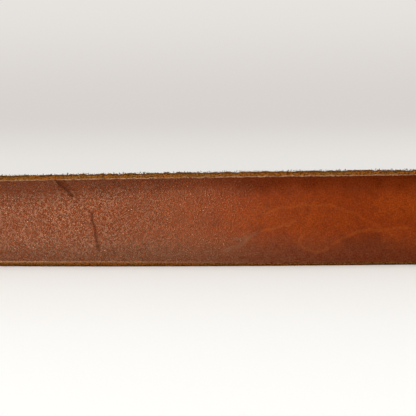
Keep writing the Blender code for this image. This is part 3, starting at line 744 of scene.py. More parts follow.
def half_profile(thick, half, bevel, lip, face_pitch):
    """From the middle of the flesh side, round one edge, to the middle of the grain side.

    Each point is (n, inset from the edge, distance across from the strap's middle)."""
    points = [(0.0, half * (1 - k / 5), half + bevel + thick + half * (1 - k / 5)) for k in range(5)]
    wall = (
        (0.0, 0.45 * MM),
        (0.10 * thick, 0.10 * MM),
        (0.30 * thick, 0.0),
        (thick - 1.15 * bevel, 0.0),
        (thick - 0.95 * bevel, 0.12 * MM),
        (thick - 0.66 * bevel, 0.36 * bevel),
        (thick - 0.40 * bevel, 0.62 * bevel),
        (thick - 0.18 * bevel, 0.86 * bevel),
    )
    turn = []
    reach = half - bevel
    previous = (thick - 0.10 * bevel, bevel)
    for n, inset in reversed(wall):
        reach += math.hypot(n - previous[0], inset - previous[1])
        turn.append((n, inset, reach))
        previous = (n, inset)
    points += reversed(turn)
    for drop, step in ((0.035, 0.0), (0.0, 0.35), (0.015, 0.70), (0.075, 1.0), (0.13, 1.5)):
        inset = bevel + step * lip
        points.append((thick - drop * MM, inset, half - inset))
    for inset in spread(bevel + 2.1 * lip, half, face_pitch):
        hollow = 0.15 * MM * math.exp(-(((inset - 2.8 * MM) / (5 * MM)) ** 2))
        points.append((thick - hollow, inset, half - inset))
    return points


def roughened(s, across, n, inset, thick, bevel):
    """The small unevenness of real leather at a place on the outline: (change of n, change of inset)."""
    spot = Vector((s / MM, across / MM, n / MM))
    edge = 1 - smooth(inset, bevel, 2.2 * bevel)
    ragged = 0.44 * MM if across > 0 else 0.08 * MM
    coarse = noise.noise(spot * 0.55) + 0.6 * noise.noise(spot * 1.7)
    swell = 0.05 * MM * noise.noise(Vector((s * 55, math.copysign(1, across), 0.0)))
    on_grain = smooth(n, 0.6 * thick, thick)
    body = 0.07 * MM * noise.noise(Vector((s * 70, across * 120, 3.0))) * on_grain
    creased = mark_at(((s - FRONT_MIDDLE) / MM, across / MM), CREASES) if on_grain > 0.5 else 0.0
    return body + (0.10 * edge * coarse * on_grain - 0.22 * creased) * MM, edge * (ragged * coarse + swell)


# What the leather's map gives the turn round the buckle bar
NOSE_RUN = 0.010


def fold_rings():
    """The fold round the buckle bar, as (s, n of the flesh side, direction of the grain, thickness, u)."""
    rings = []
    at_bar = BAR_N - BAR_RADIUS - PLY_GAP
    keeper_low, keeper_high = KEEPER_S - KEEPER_HALF, KEEPER_S + KEEPER_HALF
    over = KEEPER_THICK + PLY_GAP
    for s in reversed(spread(0, FLAP_LENGTH, 1.2 * MM)[1:]):
        rise = smooth(s, 2 * MM, 14 * MM)
        bulge = smooth(s, keeper_low - 6 * MM, keeper_low - 0.4 * MM)
        bulge *= 1 - smooth(s, keeper_high + 0.4 * MM, keeper_high + 6 * MM)
        n = at_bar + (-PLY_GAP - at_bar) * rise - over * bulge
        rings.append((s, n, -math.pi / 2, FOLD_THICK, -s - NOSE_RUN))
    inner = BAR_RADIUS + PLY_GAP
    for k in range(25):
        angle = -math.pi / 2 - math.pi * k / 24
        s, n = inner * math.cos(angle), BAR_N + inner * math.sin(angle)
        rings.append((s, n, angle, FOLD_THICK, -NOSE_RUN * (1 - k / 24)))
    for s in spread(0, SKIVE_LENGTH, 1.2 * MM)[1:]:
        n = (STRAP_THICK - FOLD_THICK) * (1 - smooth(s, 3 * MM, SKIVE_LENGTH))
        rings.append((s, n, math.pi / 2, STRAP_THICK - n, s))
    return rings


def leather_ring(s, n, angle, thick, u, settings):
    """One closed outline of the strap, as (point, u, v)."""
    half = half_profile(thick, MID, settings.bevel, settings.lip, settings.pitch)
    ring = []
    for upper in (False, True):
        side = []
        for depth, inset, v in half:
            across = MID - inset if upper else inset - MID
            more, inwards = roughened(u, across, depth, inset, thick, settings.bevel)
            depth = depth + more
            inset = inset + inwards
            z = STRAP_WIDTH - inset if upper else inset
            point = at(s + depth * math.cos(angle), n + depth * math.sin(angle), z)
            side.append((point, u, v if upper else -v))
        # The point in the middle of the flesh side would be there twice, so neither half gives it
        ring += side[1:] if upper else side[::-1][:-1]
    return ring


def cut_out(made, cutters):
    """Takes plain helper meshes out of a piece, and gives the new walls the piece's second material."""
    for k, mesh in enumerate(cutters):
        bmesh.ops.recalc_face_normals(mesh, faces=mesh.faces)
        helper = new_piece(f"cutter_{k}", mesh, "belt_grain", "belt_punched")
        for face in helper.data.polygons:
            face.material_index = 1
        modifier = made.modifiers.new("cut", "BOOLEAN")
        modifier.operation = "DIFFERENCE"
        modifier.object = helper
    flatten(made)
    for k in range(len(cutters)):
        helper = bpy.data.objects[f"cutter_{k}"]
        bpy.data.objects.remove(helper)
    return made


def tube(centre, axis, radius, length, count=32):
    """A plain round cutter along an axis."""
    mesh = bmesh.new()
    turn = axis.to_track_quat("Z", "Y").to_matrix().to_4x4()
    bmesh.ops.create_cone(
        mesh,
        cap_ends=True,
        segments=count,
        radius1=radius,
        radius2=radius,
        depth=length,
        matrix=Matrix.Translation(centre) @ turn,
    )
    return mesh


def outwards_at(s):
    """The direction that n grows in, at s."""
    return (at(s, MM, MID) - at(s, 0, MID)).normalized()


# ---- strap ------------------------------------------------------------------------------------


COARSE_PITCH = 2.0 * MM
SLOT_HALF = 3.5 * MM
SLOT_REACH = 12.5 * MM
SCREW_HOLE_RADIUS = 2.75 * MM


def slot_cutter():
    """The slot that the prong swings in, through the nose of the fold."""
    rings = []
    for n in (12 * MM, -12 * MM):
        ring = [at(-12 * MM, n, MID - SLOT_HALF), at(-12 * MM, n, MID + SLOT_HALF)]
        for k in range(17):
            angle = math.pi / 2 - math.pi * k / 16
            s = SLOT_REACH - SLOT_HALF + SLOT_HALF * math.cos(angle)
            ring.append(at(s, n, MID + SLOT_HALF * math.sin(angle)))
        rings.append([(point, 0, 0) for point in ring])
    return loft(rings)


class BELT_OT_strap(bpy.types.Operator):
    """Makes the length of strap from the fold at the buckle to the side of the loop"""

    bl_idname = "belt.strap"
    bl_label = "Strap"

    def execute(self, context):
        settings = context.scene.belt_leather
        rings = [leather_ring(*ring, settings) for ring in fold_rings()]
        fine_start, fine_end = FRONT_MIDDLE + MARKS_START * MM, FRONT_MIDDLE + FINE_END * MM
        steps = spread(SKIVE_LENGTH, fine_start, COARSE_PITCH)[1:]
        steps += spread(fine_start, fine_end, settings.pitch)[1:]
        steps += spread(fine_end, TONGUE_START, COARSE_PITCH)[1:]
        rings += [leather_ring(s, 0, math.pi / 2, STRAP_THICK, s, settings) for s in steps]
        strap = new_piece("strap_leather_main", loft(rings, worn=True), "belt_grain", "belt_punched")
        cutters = [slot_cutter()]
        for post in ("screw_post_1", "screw_post_2"):
            s = START.y - middle_of(post).y
            cutters.append(tube(at(s, 0, MID), outwards_at(s), SCREW_HOLE_RADIUS, 24 * MM))
        cut_out(strap, cutters)
        settle(strap, "strap", "strap_leather", "front_strap")
        return {"FINISHED"}


TIP_CURVE = 26 * MM
TIP_TO_HOLE = 75 * MM
HOLE_PITCH = 25 * MM
HOLE_COUNT = 5
HOLE_RADIUS = 2.75 * MM
# Two places on the strap, FLEX_HALF either side of FLEX_S
FLEX_S = 0.804
FLEX_HALF = 26 * MM
FLEX_FROM = at(FLEX_S - FLEX_HALF, 0, MID)
FLEX_TO = at(FLEX_S + FLEX_HALF, 0, MID)


def tongue_outline():
    """Spokes of the tongue, from its root along the lower edge, round the tip and back along the upper one.

    Each is (s of the middle, s at the edge, height of the edge over the middle line)."""
    straight = spread(TONGUE_START, STRAP_LENGTH - TIP_CURVE, 1.8 * MM)
    spokes = [(s, s, -MID) for s in straight[:-1]]
    centre = straight[-1]
    count = 44
    for k in range(count + 1):
        a = math.pi * k / count - math.pi / 2
        reach = TIP_CURVE * math.cos(a) ** 0.833 if abs(a) < math.pi / 2 - 1e-6 else 0.0
        height = MID * math.copysign(abs(math.sin(a)) ** 1.2, a)
        spokes.append((centre, centre + reach, height))
    return spokes + [(s, s, MID) for s in reversed(straight[:-1])]


class BELT_OT_tongue(bpy.types.Operator):
    """Makes the free end of the strap, with its punched holes and rounded tip"""

    bl_idname = "belt.tongue"
    bl_label = "Tongue"

    def execute(self, context):
        settings = context.scene.belt_leather
        profile = half_profile(STRAP_THICK, MID, settings.bevel, settings.lip, 4 * settings.pitch)
        rings = []
        for middle, edge, height in tongue_outline():
            reach = math.hypot(edge - middle, height)
            way_s, way_z = (edge - middle) / reach, height / reach
            ring = []
            for n, inset, v in profile:
                share = reach * (1 - inset / MID) if inset > 8 * MM else reach - inset
                s, across = middle + way_s * share, way_z * share
                more, inwards = roughened(s, across, n, inset, STRAP_THICK, settings.bevel)
                s, across = s - way_s * inwards, across - way_z * inwards
                point = at(s, n + more, MID + across)
                ring.append((point, s, math.copysign(v, height) if abs(height) > 1e-9 else v))
            rings.append(ring)
        mesh = loft(rings, closed=False)
        bmesh.ops.remove_doubles(mesh, verts=mesh.verts, dist=0.02 * MM)
        bmesh.ops.recalc_face_normals(mesh, faces=mesh.faces)
        tongue = new_piece("strap_leather_tongue", mesh, "belt_grain", "belt_punched")
        cutters = []
        for k in range(HOLE_COUNT):
            s = STRAP_LENGTH - TIP_TO_HOLE - HOLE_PITCH * k
            cutters.append(tube(at(s, STRAP_THICK / 2, MID), outwards_at(s), HOLE_RADIUS, 12 * MM))
        cut_out(tongue, cutters)
        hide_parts("strap_tongue")
        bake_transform(tongue)
        return {"FINISHED"}


# ---- things that repeat -----------------------------------------------------------------------


def start_path_tree(name, kinds):
    """A geometry node tree for things along a path, as (tree, its inputs, the path's curve, outwards)."""
    group = bpy.data.node_groups.new(name, "GeometryNodeTree")
    for key, kind in {"Path": "Geometry", **kinds, "Material": "Material"}.items():
        group.interface.new_socket(key, in_out="INPUT", socket_type=f"NodeSocket{kind}")
    group.interface.new_socket("Made", in_out="OUTPUT", socket_type="NodeSocketGeometry")
    tree = Tree(group)
    given = tree.node("NodeGroupInput").outputs
    curve = tree.out("GeometryNodeMeshToCurve", {"Mesh": given["Path"]})
    out = tree.out("GeometryNodeInputNamedAttribute", {"Name": "outwards"}, data_type="FLOAT_VECTOR")
    return tree, given, curve, out


def end_path_tree(tree, given, made):
    """Turns what was made into one real mesh of the given material, and hands it out."""
    real = tree.out("GeometryNodeRealizeInstances", {"Geometry": made})
    done = tree.out("GeometryNodeSetMaterial", {"Geometry": real, "Material": given["Material"]})
    tree.node("NodeGroupOutput", {0: done})
    return tree.tree


def steps_along(tree, curve, length):
    return tree.out("GeometryNodeResampleCurve", {"Curve": curve, "Length": length}, mode="LENGTH")


def rope_along(tree, curve, radius, sides):
    """A round closed rope about a curve."""
    circle = tree.out(
        "GeometryNodeCurvePrimitiveCircle", {"Resolution": sides, "Radius": radius}, mode="RADIUS"
    )
    rope = {"Curve": curve, "Profile Curve": circle, "Fill Caps": True}
    return tree.out("GeometryNodeSetShadeSmooth", {"Geometry": tree.out("GeometryNodeCurveToMesh", rope)})


def fibre_tree():
    """Geometry nodes: short tapered fibres along a path, leaning out from it."""
    kinds = {"Spacing": "Float", "Length": "Float", "Radius": "Float", "Seed": "Int"}
    tree, given, curve, out = start_path_tree("edge_fibres", kinds)

    def shaken(size, seed):
        limits = {0: (-size, -size, -size), 1: (size, size, size), "Seed": seed}
        return tree.out("FunctionNodeRandomValue", limits, data_type="FLOAT_VECTOR")

    lean = tree.vector("ADD", out, shaken(0.9, given["Seed"]))
    turn = tree.out("FunctionNodeAlignRotationToVector", {"Vector": lean}, axis="Z")
    fibre = tree.out(
        "GeometryNodeMeshCone",
        {"Vertices": 3, "Radius Top": 0.0, "Radius Bottom": given["Radius"], "Depth": given["Length"]},
        fill_type="NGON",
    )
    limits = {2: 0.45, 3: 1.0, "Seed": tree.plus(given["Seed"], 11)}
    chance = tree.node("FunctionNodeRandomValue", limits, data_type="FLOAT").outputs[1]
    # Most fibres are short, and a short one is slender too
    size = tree.calc("POWER", chance, 2.5)
    slender = tree.calc("SQRT", size)
    tall = tree.combine(slender, slender, size)
    offset = shaken(0.35 * MM, tree.plus(given["Seed"], 5))
    points = steps_along(tree, curve, given["Spacing"])
    moved = tree.out("GeometryNodeSetPosition", {"Geometry": points, "Offset": offset})
    many = tree.out(
        "GeometryNodeInstanceOnPoints", {"Points": moved, "Instance": fibre, "Rotation": turn, "Scale": tall}
    )
    return end_path_tree(tree, given, many)


def run_tree(name, group, path, material, inputs):
    """A plain mesh of a material that a geometry node tree makes from a path object."""
    modifier = path.modifiers.new("nodes", "NODES")
    modifier.node_group = group
    sockets = {item.name: item.identifier for item in group.interface.items_tree if item.in_out == "INPUT"}
    for key, value in {**inputs, "Material": bpy.data.materials[material]}.items():
        modifier[sockets[key]] = value
    made = flatten(path)
    made.name = name
    made.data.name = name
    return made


def path_object(name, lines):
    """A helper of plain lines, each a list of (point, outward direction)."""
    data = bpy.data.meshes.new(name)
    points, edges, out = [], [], []
    for line in lines:
        first = len(points)
        points += [point for point, _ in line]
        out += [way for _, way in line]
        edges += [(first + k, first + k + 1) for k in range(len(line) - 1)]
    data.from_pydata(points, edges, [])
    attribute = data.attributes.new("outwards", "FLOAT_VECTOR", "POINT")
    attribute.data.foreach_set("vector", [x for way in out for x in way])
    made = bpy.data.objects.new(name, data)
    bpy.context.scene.collection.objects.link(made)
    return made


# Lines of fibres along the edges: (n and inset from the edge in millimetres, on the upper edge or not, lean)
FIBRE_LINES = (
    (1.5, 0.05, True, 0.2),
    (2.1, 0.35, True, 0.6),
    (0.7, 0.0, True, -0.2),
    (1.7, 0.12, False, 0.5),
)


def edge_line(start, end, depth, inset, upper, lean):
    """A line along an edge of the strap, with the way that its fibres stand: up or down, and out by lean."""
    z = STRAP_WIDTH - inset * MM if upper else inset * MM
    up = Vector((0, 0, 1 if upper else -1))
    return [(at(s, depth * MM, z), up + outwards_at(s) * lean) for s in spread(start, end, 2 * MM)]


class BELT_OT_fibres(bpy.types.Operator):
    """Stands loose fibres along the raw edges of the strap"""

    bl_idname = "belt.fibres"
    bl_label = "Edge fibres"

    def execute(self, context):
        settings = context.scene.belt_fibres
        group = fibre_tree()
        inputs = {
            "Spacing": 1 / settings.density,
            "Length": settings.length,
            "Radius": settings.radius,
            "Seed": settings.seed,
        }
        for name, start, end, body in (
            ("edge_fibres_strap", 24 * MM, TONGUE_START - 1 * MM, "strap"),
            ("edge_fibres_tongue", TONGUE_START + 1 * MM, STRAP_LENGTH - TIP_CURVE, "tongue"),
        ):
            path = path_object(name + "_path", [edge_line(start, end, *line) for line in FIBRE_LINES])
            made = run_tree(name, group, path, "belt_fibre", inputs)
            if body == "strap":
                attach(made, body)
            else:
                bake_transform(made)
        return {"FINISHED"}


# ---- pocket -----------------------------------------------------------------------------------

PANEL_THICK = 1.2 * MM
PANEL_RAISE = 1.8 * MM
PANEL_INSET = 0.6 * MM
WINDOW_END = 23 * MM
WINDOW_HALF = 5.2 * MM
WINDOW_S = (FRONT_START + WINDOW_END, FRONT_END - WINDOW_END)
STITCH_OUT = 2.5 * MM
TAPE_OUT = -1.3 * MM
TAPE_THICK = 0.5 * MM
TAPE_HALF = 12 * MM
TAPE_END = 12 * MM
COIL_END = 3.5 * MM
# Each coil's middle line and the reach of its turns across the zip and into the pocket
COIL_N = -2.85 * MM
COIL_FROM_MIDDLE = 1.35 * MM
COIL_WIDE = 1.45 * MM
COIL_DEEP = 0.75 * MM
COIL_STEPS = 12


def panel_face(s, z):
    """n of the panel's outer face, which swells over the tapes and dips at the seam."""
    ends = smooth(s, FRONT_START + 3 * MM, FRONT_START + 11 * MM)
    ends *= 1 - smooth(s, FRONT_END - 11 * MM, FRONT_END - 3 * MM)
    from_edge = min(z, STRAP_WIDTH - z)
    raised = PANEL_RAISE * ends * smooth(from_edge, 4.2 * MM, 7.6 * MM)
    beyond_s = max(WINDOW_S[0] - s, s - WINDOW_S[1])
    beyond_z = abs(z - MID) - WINDOW_HALF
    off_window = max(beyond_s, beyond_z)
    groove = math.exp(-(((off_window - STITCH_OUT) / (0.7 * MM)) ** 2))
    rolled = 0.35 * MM * (1 - smooth(off_window, 0.0, 0.8 * MM)) if off_window > -MM else 0.0
    border = 0.5 * MM * (1 - smooth(from_edge, PANEL_INSET, PANEL_INSET + 0.8 * MM))
    ruffle = 0.06 * MM * noise.noise(Vector((s * 90, z * 160, 8.0)))
    return -PLY_GAP - PANEL_THICK - raised + 0.22 * MM * groove + rolled + border + ruffle


def slab(name, marks_s, marks_z, near, far, keep, uv_name, *materials):
    """A closed sheet over a grid of strap coordinates.

    near and far give n on its two faces, and keep picks the cells that are there."""
    mesh = bmesh.new()
    uv = mesh.loops.layers.uv.new(uv_name)
    verts = {}

    def vert(k, j, side):
        key = (k, j, side)
        if key not in verts:
            s, z = marks_s[k], marks_z[j]
            verts[key] = mesh.verts.new(at(s, (far if side else near)(s, z), z))
        return verts[key]

    def add(corners):
        face = mesh.faces.new([vert(*corner) for corner in corners])
        for loop, (k, j, _) in zip(face.loops, corners):
            loop[uv].uv = (marks_s[k], marks_z[j])

    cells = {
        (k, j)
        for k in range(len(marks_s) - 1)
        for j in range(len(marks_z) - 1)
        if keep((marks_s[k] + marks_s[k + 1]) / 2, (marks_z[j] + marks_z[j + 1]) / 2)
    }
    for k, j in sorted(cells):
        for side in (0, 1):
            add([(k, j, side), (k + 1, j, side), (k + 1, j + 1, side), (k, j + 1, side)])
        for step, ends in (
            ((0, -1), ((k, j), (k + 1, j))),
            ((0, 1), ((k, j + 1), (k + 1, j + 1))),
            ((-1, 0), ((k, j), (k, j + 1))),
            ((1, 0), ((k + 1, j), (k + 1, j + 1))),
        ):
            if (k + step[0], j + step[1]) not in cells:
                (a, b), (c, d) = ends
                add([(a, b, 0), (c, d, 0), (c, d, 1), (a, b, 1)])
    bmesh.ops.recalc_face_normals(mesh, faces=mesh.faces)
    return new_piece(name, mesh, *materials)


def panel_back(s, z):
    """n of the panel's face next to the strap."""
    return panel_face(s, z) + PANEL_THICK * 0.92


def outside_window(s, z):
    return not (WINDOW_S[0] < s < WINDOW_S[1] and abs(z - MID) < WINDOW_HALF)


class BELT_OT_pocket(bpy.types.Operator):
    """Makes the lining leather panel with the window for its zip"""

    bl_idname = "belt.pocket"
    bl_label = "Pocket panel"

    def execute(self, context):
        window = WINDOW_S[0]
        marks_s = spread(FRONT_START, FRONT_START + 12 * MM, 1 * MM)
        marks_s += spread(FRONT_START + 12 * MM, window - 0.8 * MM, 1.2 * MM)[1:] + [window]
        marks_s += spread(window, WINDOW_S[1], 2.4 * MM)[1:]
        marks_s += [FRONT_START + FRONT_END - s for s in reversed(marks_s) if s < window]
        # Up to the middle: the border, the rise over the tapes, the seam's groove and the window's edge
        low, seam, edge = PANEL_INSET, MID - WINDOW_HALF - STITCH_OUT, MID - WINDOW_HALF
        half = [low, low + 0.3 * MM, low + 0.8 * MM]
        half += [2.6 * MM, 4.2 * MM, 5.0 * MM, 5.9 * MM, 6.8 * MM, 7.6 * MM, 9 * MM]
        half += [seam - 0.8 * MM, seam - 0.3 * MM, seam, seam + 0.3 * MM, seam + 0.8 * MM]
        half += [edge - 0.7 * MM, edge - 0.3 * MM, edge, MID - 2.6 * MM]
        marks_z = half + [MID] + [STRAP_WIDTH - z for z in reversed(half)]
        name, grid = "pocket_panel_leather", (marks_s, marks_z)
        panel = slab(name, *grid, panel_back, panel_face, outside_window, "strap", "belt_lining")
        settle(panel, "strap", "lining_leather", "pocket_panel")
        return {"FINISHED"}


def tape_back(s, z):
    return TAPE_OUT


def tape_face(s, z):
    """n of the tape's face that shows in the window, with the bead along its inner edge."""
    bead = math.exp(-(((abs(z - MID) - 0.5 * MM) / (0.5 * MM)) ** 2))
    return TAPE_OUT - TAPE_THICK * (1 + 0.35 * bead)


def everywhere(s, z):
    return True


class BELT_OT_tapes(bpy.types.Operator):
    """Lays the two woven tapes of the zip behind the window"""

    bl_idname = "belt.tapes"
    bl_label = "Zip tapes"

    def execute(self, context):
        start, end = FRONT_START + TAPE_END, FRONT_END - TAPE_END
        for name, side in (("upper", 1), ("lower", -1)):
            edges = sorted((MID + side * 0.25 * MM, MID + side * TAPE_HALF))
            grid = (spread(start, end, 2.2 * MM), spread(*edges, 0.8 * MM))
            cloth = f"zip_tape_{name}_cloth"
            tape = slab(cloth, *grid, tape_back, tape_face, everywhere, "weave", "belt_tape")
            settle(tape, "strap", "zip_tape_cloth", f"zip_tape_{name}")
        return {"FINISHED"}


def coil_tree():
    """Geometry nodes: a wire wound in oval turns about a path."""
    kinds = {"Pitch": "Float", "Width": "Float", "Depth": "Float", "Wire": "Float"}
    tree, given, curve, out = start_path_tree("zip_coil", kinds)
    steps = steps_along(tree, curve, tree.calc("DIVIDE", given["Pitch"], float(COIL_STEPS)))
    turn = tree.times(tree.out("GeometryNodeInputIndex"), math.tau / COIL_STEPS)
    lift = tree.times(tree.calc("COSINE", turn), given["Width"])
    deep = tree.times(tree.calc("SINE", turn), given["Depth"])
    away = tree.out("ShaderNodeVectorMath", {0: out, "Scale": deep}, operation="SCALE")
    shift = tree.vector("ADD", away, tree.combine(0.0, 0.0, lift))
    wound = tree.out("GeometryNodeSetPosition", {"Geometry": steps, "Offset": shift})
    return end_path_tree(tree, given, rope_along(tree, wound, given["Wire"], 6))


class BELT_OT_coils(bpy.types.Operator):
    """Winds the two nylon coils of the zip"""

    bl_idname = "belt.coils"
    bl_label = "Zip coils"

    def execute(self, context):
        settings = context.scene.belt_pocket
        group = coil_tree()
        steps = spread(WINDOW_S[0] + COIL_END, WINDOW_S[1] - COIL_END, 3 * MM)
        for name, side in (("upper", 1), ("lower", -1)):
            z = MID + side * COIL_FROM_MIDDLE
            path = path_object(f"coil_path_{name}", [[(at(s, COIL_N, z), outwards_at(s)) for s in steps]])
            inputs = {
                "Pitch": settings.coil_pitch,
                "Width": COIL_WIDE,
                "Depth": COIL_DEEP * side,
                "Wire": settings.wire,
            }
            coil = run_tree(f"zip_coil_{name}_turns", group, path, "belt_coil", inputs)
            settle(coil, "strap", "zip_coil_nylon", f"zip_coil_{name}")
        return {"FINISHED"}


def stitch_tree():
    """Geometry nodes: slanted stitches along a path, each a bent thread that dips into the leather."""
    tree, given, curve, out = start_path_tree(
        "seam_stitches", {"Stitch": "Float", "Thread": "Float", "Slant": "Float"}
    )
    points = steps_along(tree, curve, given["Stitch"])
    upright = tree.out("FunctionNodeAlignRotationToVector", {"Vector": out}, axis="Z")
    onward = {"Rotation": upright, "Vector": tree.out("GeometryNodeInputTangent")}
    facing = tree.out("FunctionNodeAlignRotationToVector", onward, axis="X", pivot_axis="Z")
    slant = {"Rotation": facing, "Rotate By": tree.combine(0.0, 0.0, given["Slant"])}
    slanted = tree.out("FunctionNodeRotateRotation", slant, rotation_space="LOCAL")
    half = tree.times(given["Stitch"], 0.43)
    low = tree.times(given["Thread"], -1.1)
    high = tree.times(given["Thread"], 1.9)
    bend = {
        "Resolution": 7,
        "Start": tree.combine(tree.times(half, -1.0), 0.0, low),
        "Start Handle": tree.combine(tree.times(half, -0.8), 0.0, high),
        "End Handle": tree.combine(tree.times(half, 0.8), 0.0, high),
        "End": tree.combine(half, 0.0, low),
    }
    arc = tree.out("GeometryNodeCurvePrimitiveBezierSegment", bend, mode="POSITION")
    stitch = rope_along(tree, arc, given["Thread"], 8)
    many = tree.out(
        "GeometryNodeInstanceOnPoints", {"Points": points, "Instance": stitch, "Rotation": slanted}
    )
    return end_path_tree(tree, given, many)


def seam_line():
    """The closed line of the window's seam, on the panel's face, with its outward direction."""
    s0, s1 = WINDOW_S[0] - STITCH_OUT, WINDOW_S[1] + STITCH_OUT
    z0, z1 = MID - WINDOW_HALF - STITCH_OUT, MID + WINDOW_HALF + STITCH_OUT
    corners = [(s, z0) for s in spread(s0, s1, 3 * MM)]
    corners += [(s1, z) for z in spread(z0, z1, 3 * MM)[1:]]
    corners += [(s, z1) for s in reversed(spread(s0, s1, 3 * MM)[:-1])]
    corners += [(s0, z) for z in reversed(spread(z0, z1, 3 * MM)[:-1])]
    return [(at(s, panel_face(s, z) - 0.1 * MM, z), -outwards_at(s)) for s, z in corners]


class BELT_OT_seam(bpy.types.Operator):
    """Sews the seam round the zip's window"""

    bl_idname = "belt.seam"
    bl_label = "Window seam"

    def execute(self, context):
        settings = context.scene.belt_pocket
        inputs = {"Stitch": settings.stitch, "Thread": settings.thread, "Slant": math.radians(9)}
        path = path_object("seam_path", [seam_line()])
        seam = run_tree("window_stitches", stitch_tree(), path, "belt_thread", inputs)
        settle(seam, "strap", "seam_thread", "window_stitching")
        return {"FINISHED"}


# ---- small castings ---------------------------------------------------------------------------


def softened(name, node, width, finish, body, slot, angle=32):
    """A copy of a frame node, with the edges that are sharper than an angle rounded."""
    mesh = bmesh.new()
    mesh.from_mesh(frame["nodes"][node].data)
    bmesh.ops.remove_doubles(mesh, verts=mesh.verts, dist=0.004 * MM)
    bmesh.ops.dissolve_limit(mesh, angle_limit=math.radians(2), verts=mesh.verts, edges=mesh.edges)
    made = new_piece(name, mesh, finish, smooth_angle=angle)
    made.data.materials.clear()
    made.data.materials.append(bpy.data.materials[finish])
    bevel = made.modifiers.new("soften", "BEVEL")
    bevel.width = width
    bevel.segments = 3
    bevel.limit_method = "ANGLE"
    bevel.angle_limit = math.radians(angle)
    bevel.harden_normals = True
    flatten(made)
    return settle(made, body, slot, node)


class BELT_OT_zip_metal(bpy.types.Operator):
    """Makes the slider, its pull tab and the zip's stops"""

    bl_idname = "belt.zip_metal"
    bl_label = "Slider, tab and stops"

    def execute(self, context):
        width = context.scene.belt_metal.softening
        softened("zip_slider", "slider_body", width, "belt_brass", "slider", "aged_brass")
        softened("zip_pull_tab", "pull_tab", width, "belt_brass", "pull_tab", "aged_brass")
        for stop in ("zip_top_stop_upper", "zip_top_stop_lower", "zip_bottom_stop"):
            softened(stop + "_crimped", stop, 1.6 * width, "belt_brass", "strap", "aged_brass")
        return {"FINISHED"}


class BELT_OT_buckle(bpy.types.Operator):
    """Makes the buckle's frame, bar and prong"""

    bl_idname = "belt.buckle"
    bl_label = "Buckle"

    def execute(self, context):
        width = context.scene.belt_metal.softening
        for name, node, width, finish, body, slot, angle in (
            ("buckle_frame_cast", "buckle_frame", width, "belt_brass", "buckle", "aged_brass", 38),
            ("buckle_bar_pin", "buckle_bar", 0.5 * width, "belt_steel", "buckle", "plated_steel", 38),
            ("prong_forged", "prong", 3 * width, "belt_brass", "prong", "aged_brass", 50),
        ):
            softened(name, node, width, finish, body, slot, angle)
        return {"FINISHED"}


class BELT_OT_screws(bpy.types.Operator):
    """Makes the two-part screws that hold the fold"""

    bl_idname = "belt.screws"
    bl_label = "Fold screws"

    def execute(self, context):
        width = context.scene.belt_metal.softening
        for node in ("screw_post_1", "fold_screw_1", "screw_post_2", "fold_screw_2"):
            softened(node + "_turned", node, width, "belt_brass", "strap", "aged_brass")
        return {"FINISHED"}


class BELT_OT_keepers(bpy.types.Operator):
    """Makes the leather keepers and the loose one's staple"""

    bl_idname = "belt.keepers"
    bl_label = "Keepers"

    def execute(self, context):
        for node, body in (("fixed_keeper", "strap"), ("loose_keeper", "loose_keeper")):
            softened(node + "_leather", node, 0.4 * MM, "belt_keeper", body, "strap_leather", 50)
        name, node = "keeper_staple_wire", "keeper_staple"
        softened(name, node, 0.3 * MM, "belt_steel", "loose_keeper", "plated_steel", 50)
        return {"FINISHED"}


# ---- stage ------------------------------------------------------------------------------------


FLOOR_RADIUS = 9.0
# What the camera looks at lies this far to the left of the front curve's middle
SEEN_LEFT = 76.5 * MM


def area_light(name, energy, size, position, target, shine=True):
    """A square light that the camera doesn't see, and that surfaces only mirror when it has shine."""
    data = bpy.data.lights.new(name, "AREA")
    data.energy = energy
    data.size = size
    made = bpy.data.objects.new(name, data)
    made.location = position
    made.rotation_euler = (Vector(target) - Vector(position)).to_track_quat("-Z", "Y").to_euler()
    made.visible_glossy = shine
    made.visible_camera = False
    bpy.context.scene.collection.objects.link(made)
    return made


def studio_world():
    """A dim surround with a pale backdrop behind the belt and a brighter side on the left."""
    world = bpy.data.worlds.new("studio")
    world.use_nodes = True
    tree = Tree(world.node_tree)
    way = tree.separate(tree.place("Generated"))
    rise = tree.times(tree.calc("ARCSINE", way[2]), 180 / math.pi)
    sheet = tree.mix(tree.fade(rise, 1.0, 2.25), (0.800, 0.778, 0.748), (0.690, 0.652, 0.624))
    sheet = tree.mix(tree.fade(rise, 2.3, 5.4), sheet, (0.800, 0.770, 0.742))
    sheet = tree.mix(tree.fade(rise, 5.4, 14), sheet, (0.90, 0.88, 0.86))
    left = tree.fade(way[0], -0.35, -0.80)
    room = tree.mix(left, (0.06, 0.057, 0.053), (0.50, 0.48, 0.45))
    room = tree.mix(tree.fade(rise, 15, 60), room, (0.42, 0.41, 0.40))
    behind = tree.fade(way[1], 0.15, 0.75)
    background = world.node_tree.nodes["Background"]
    tree.give(background.inputs["Color"], tree.mix(behind, room, sheet))
    bpy.context.scene.world = world


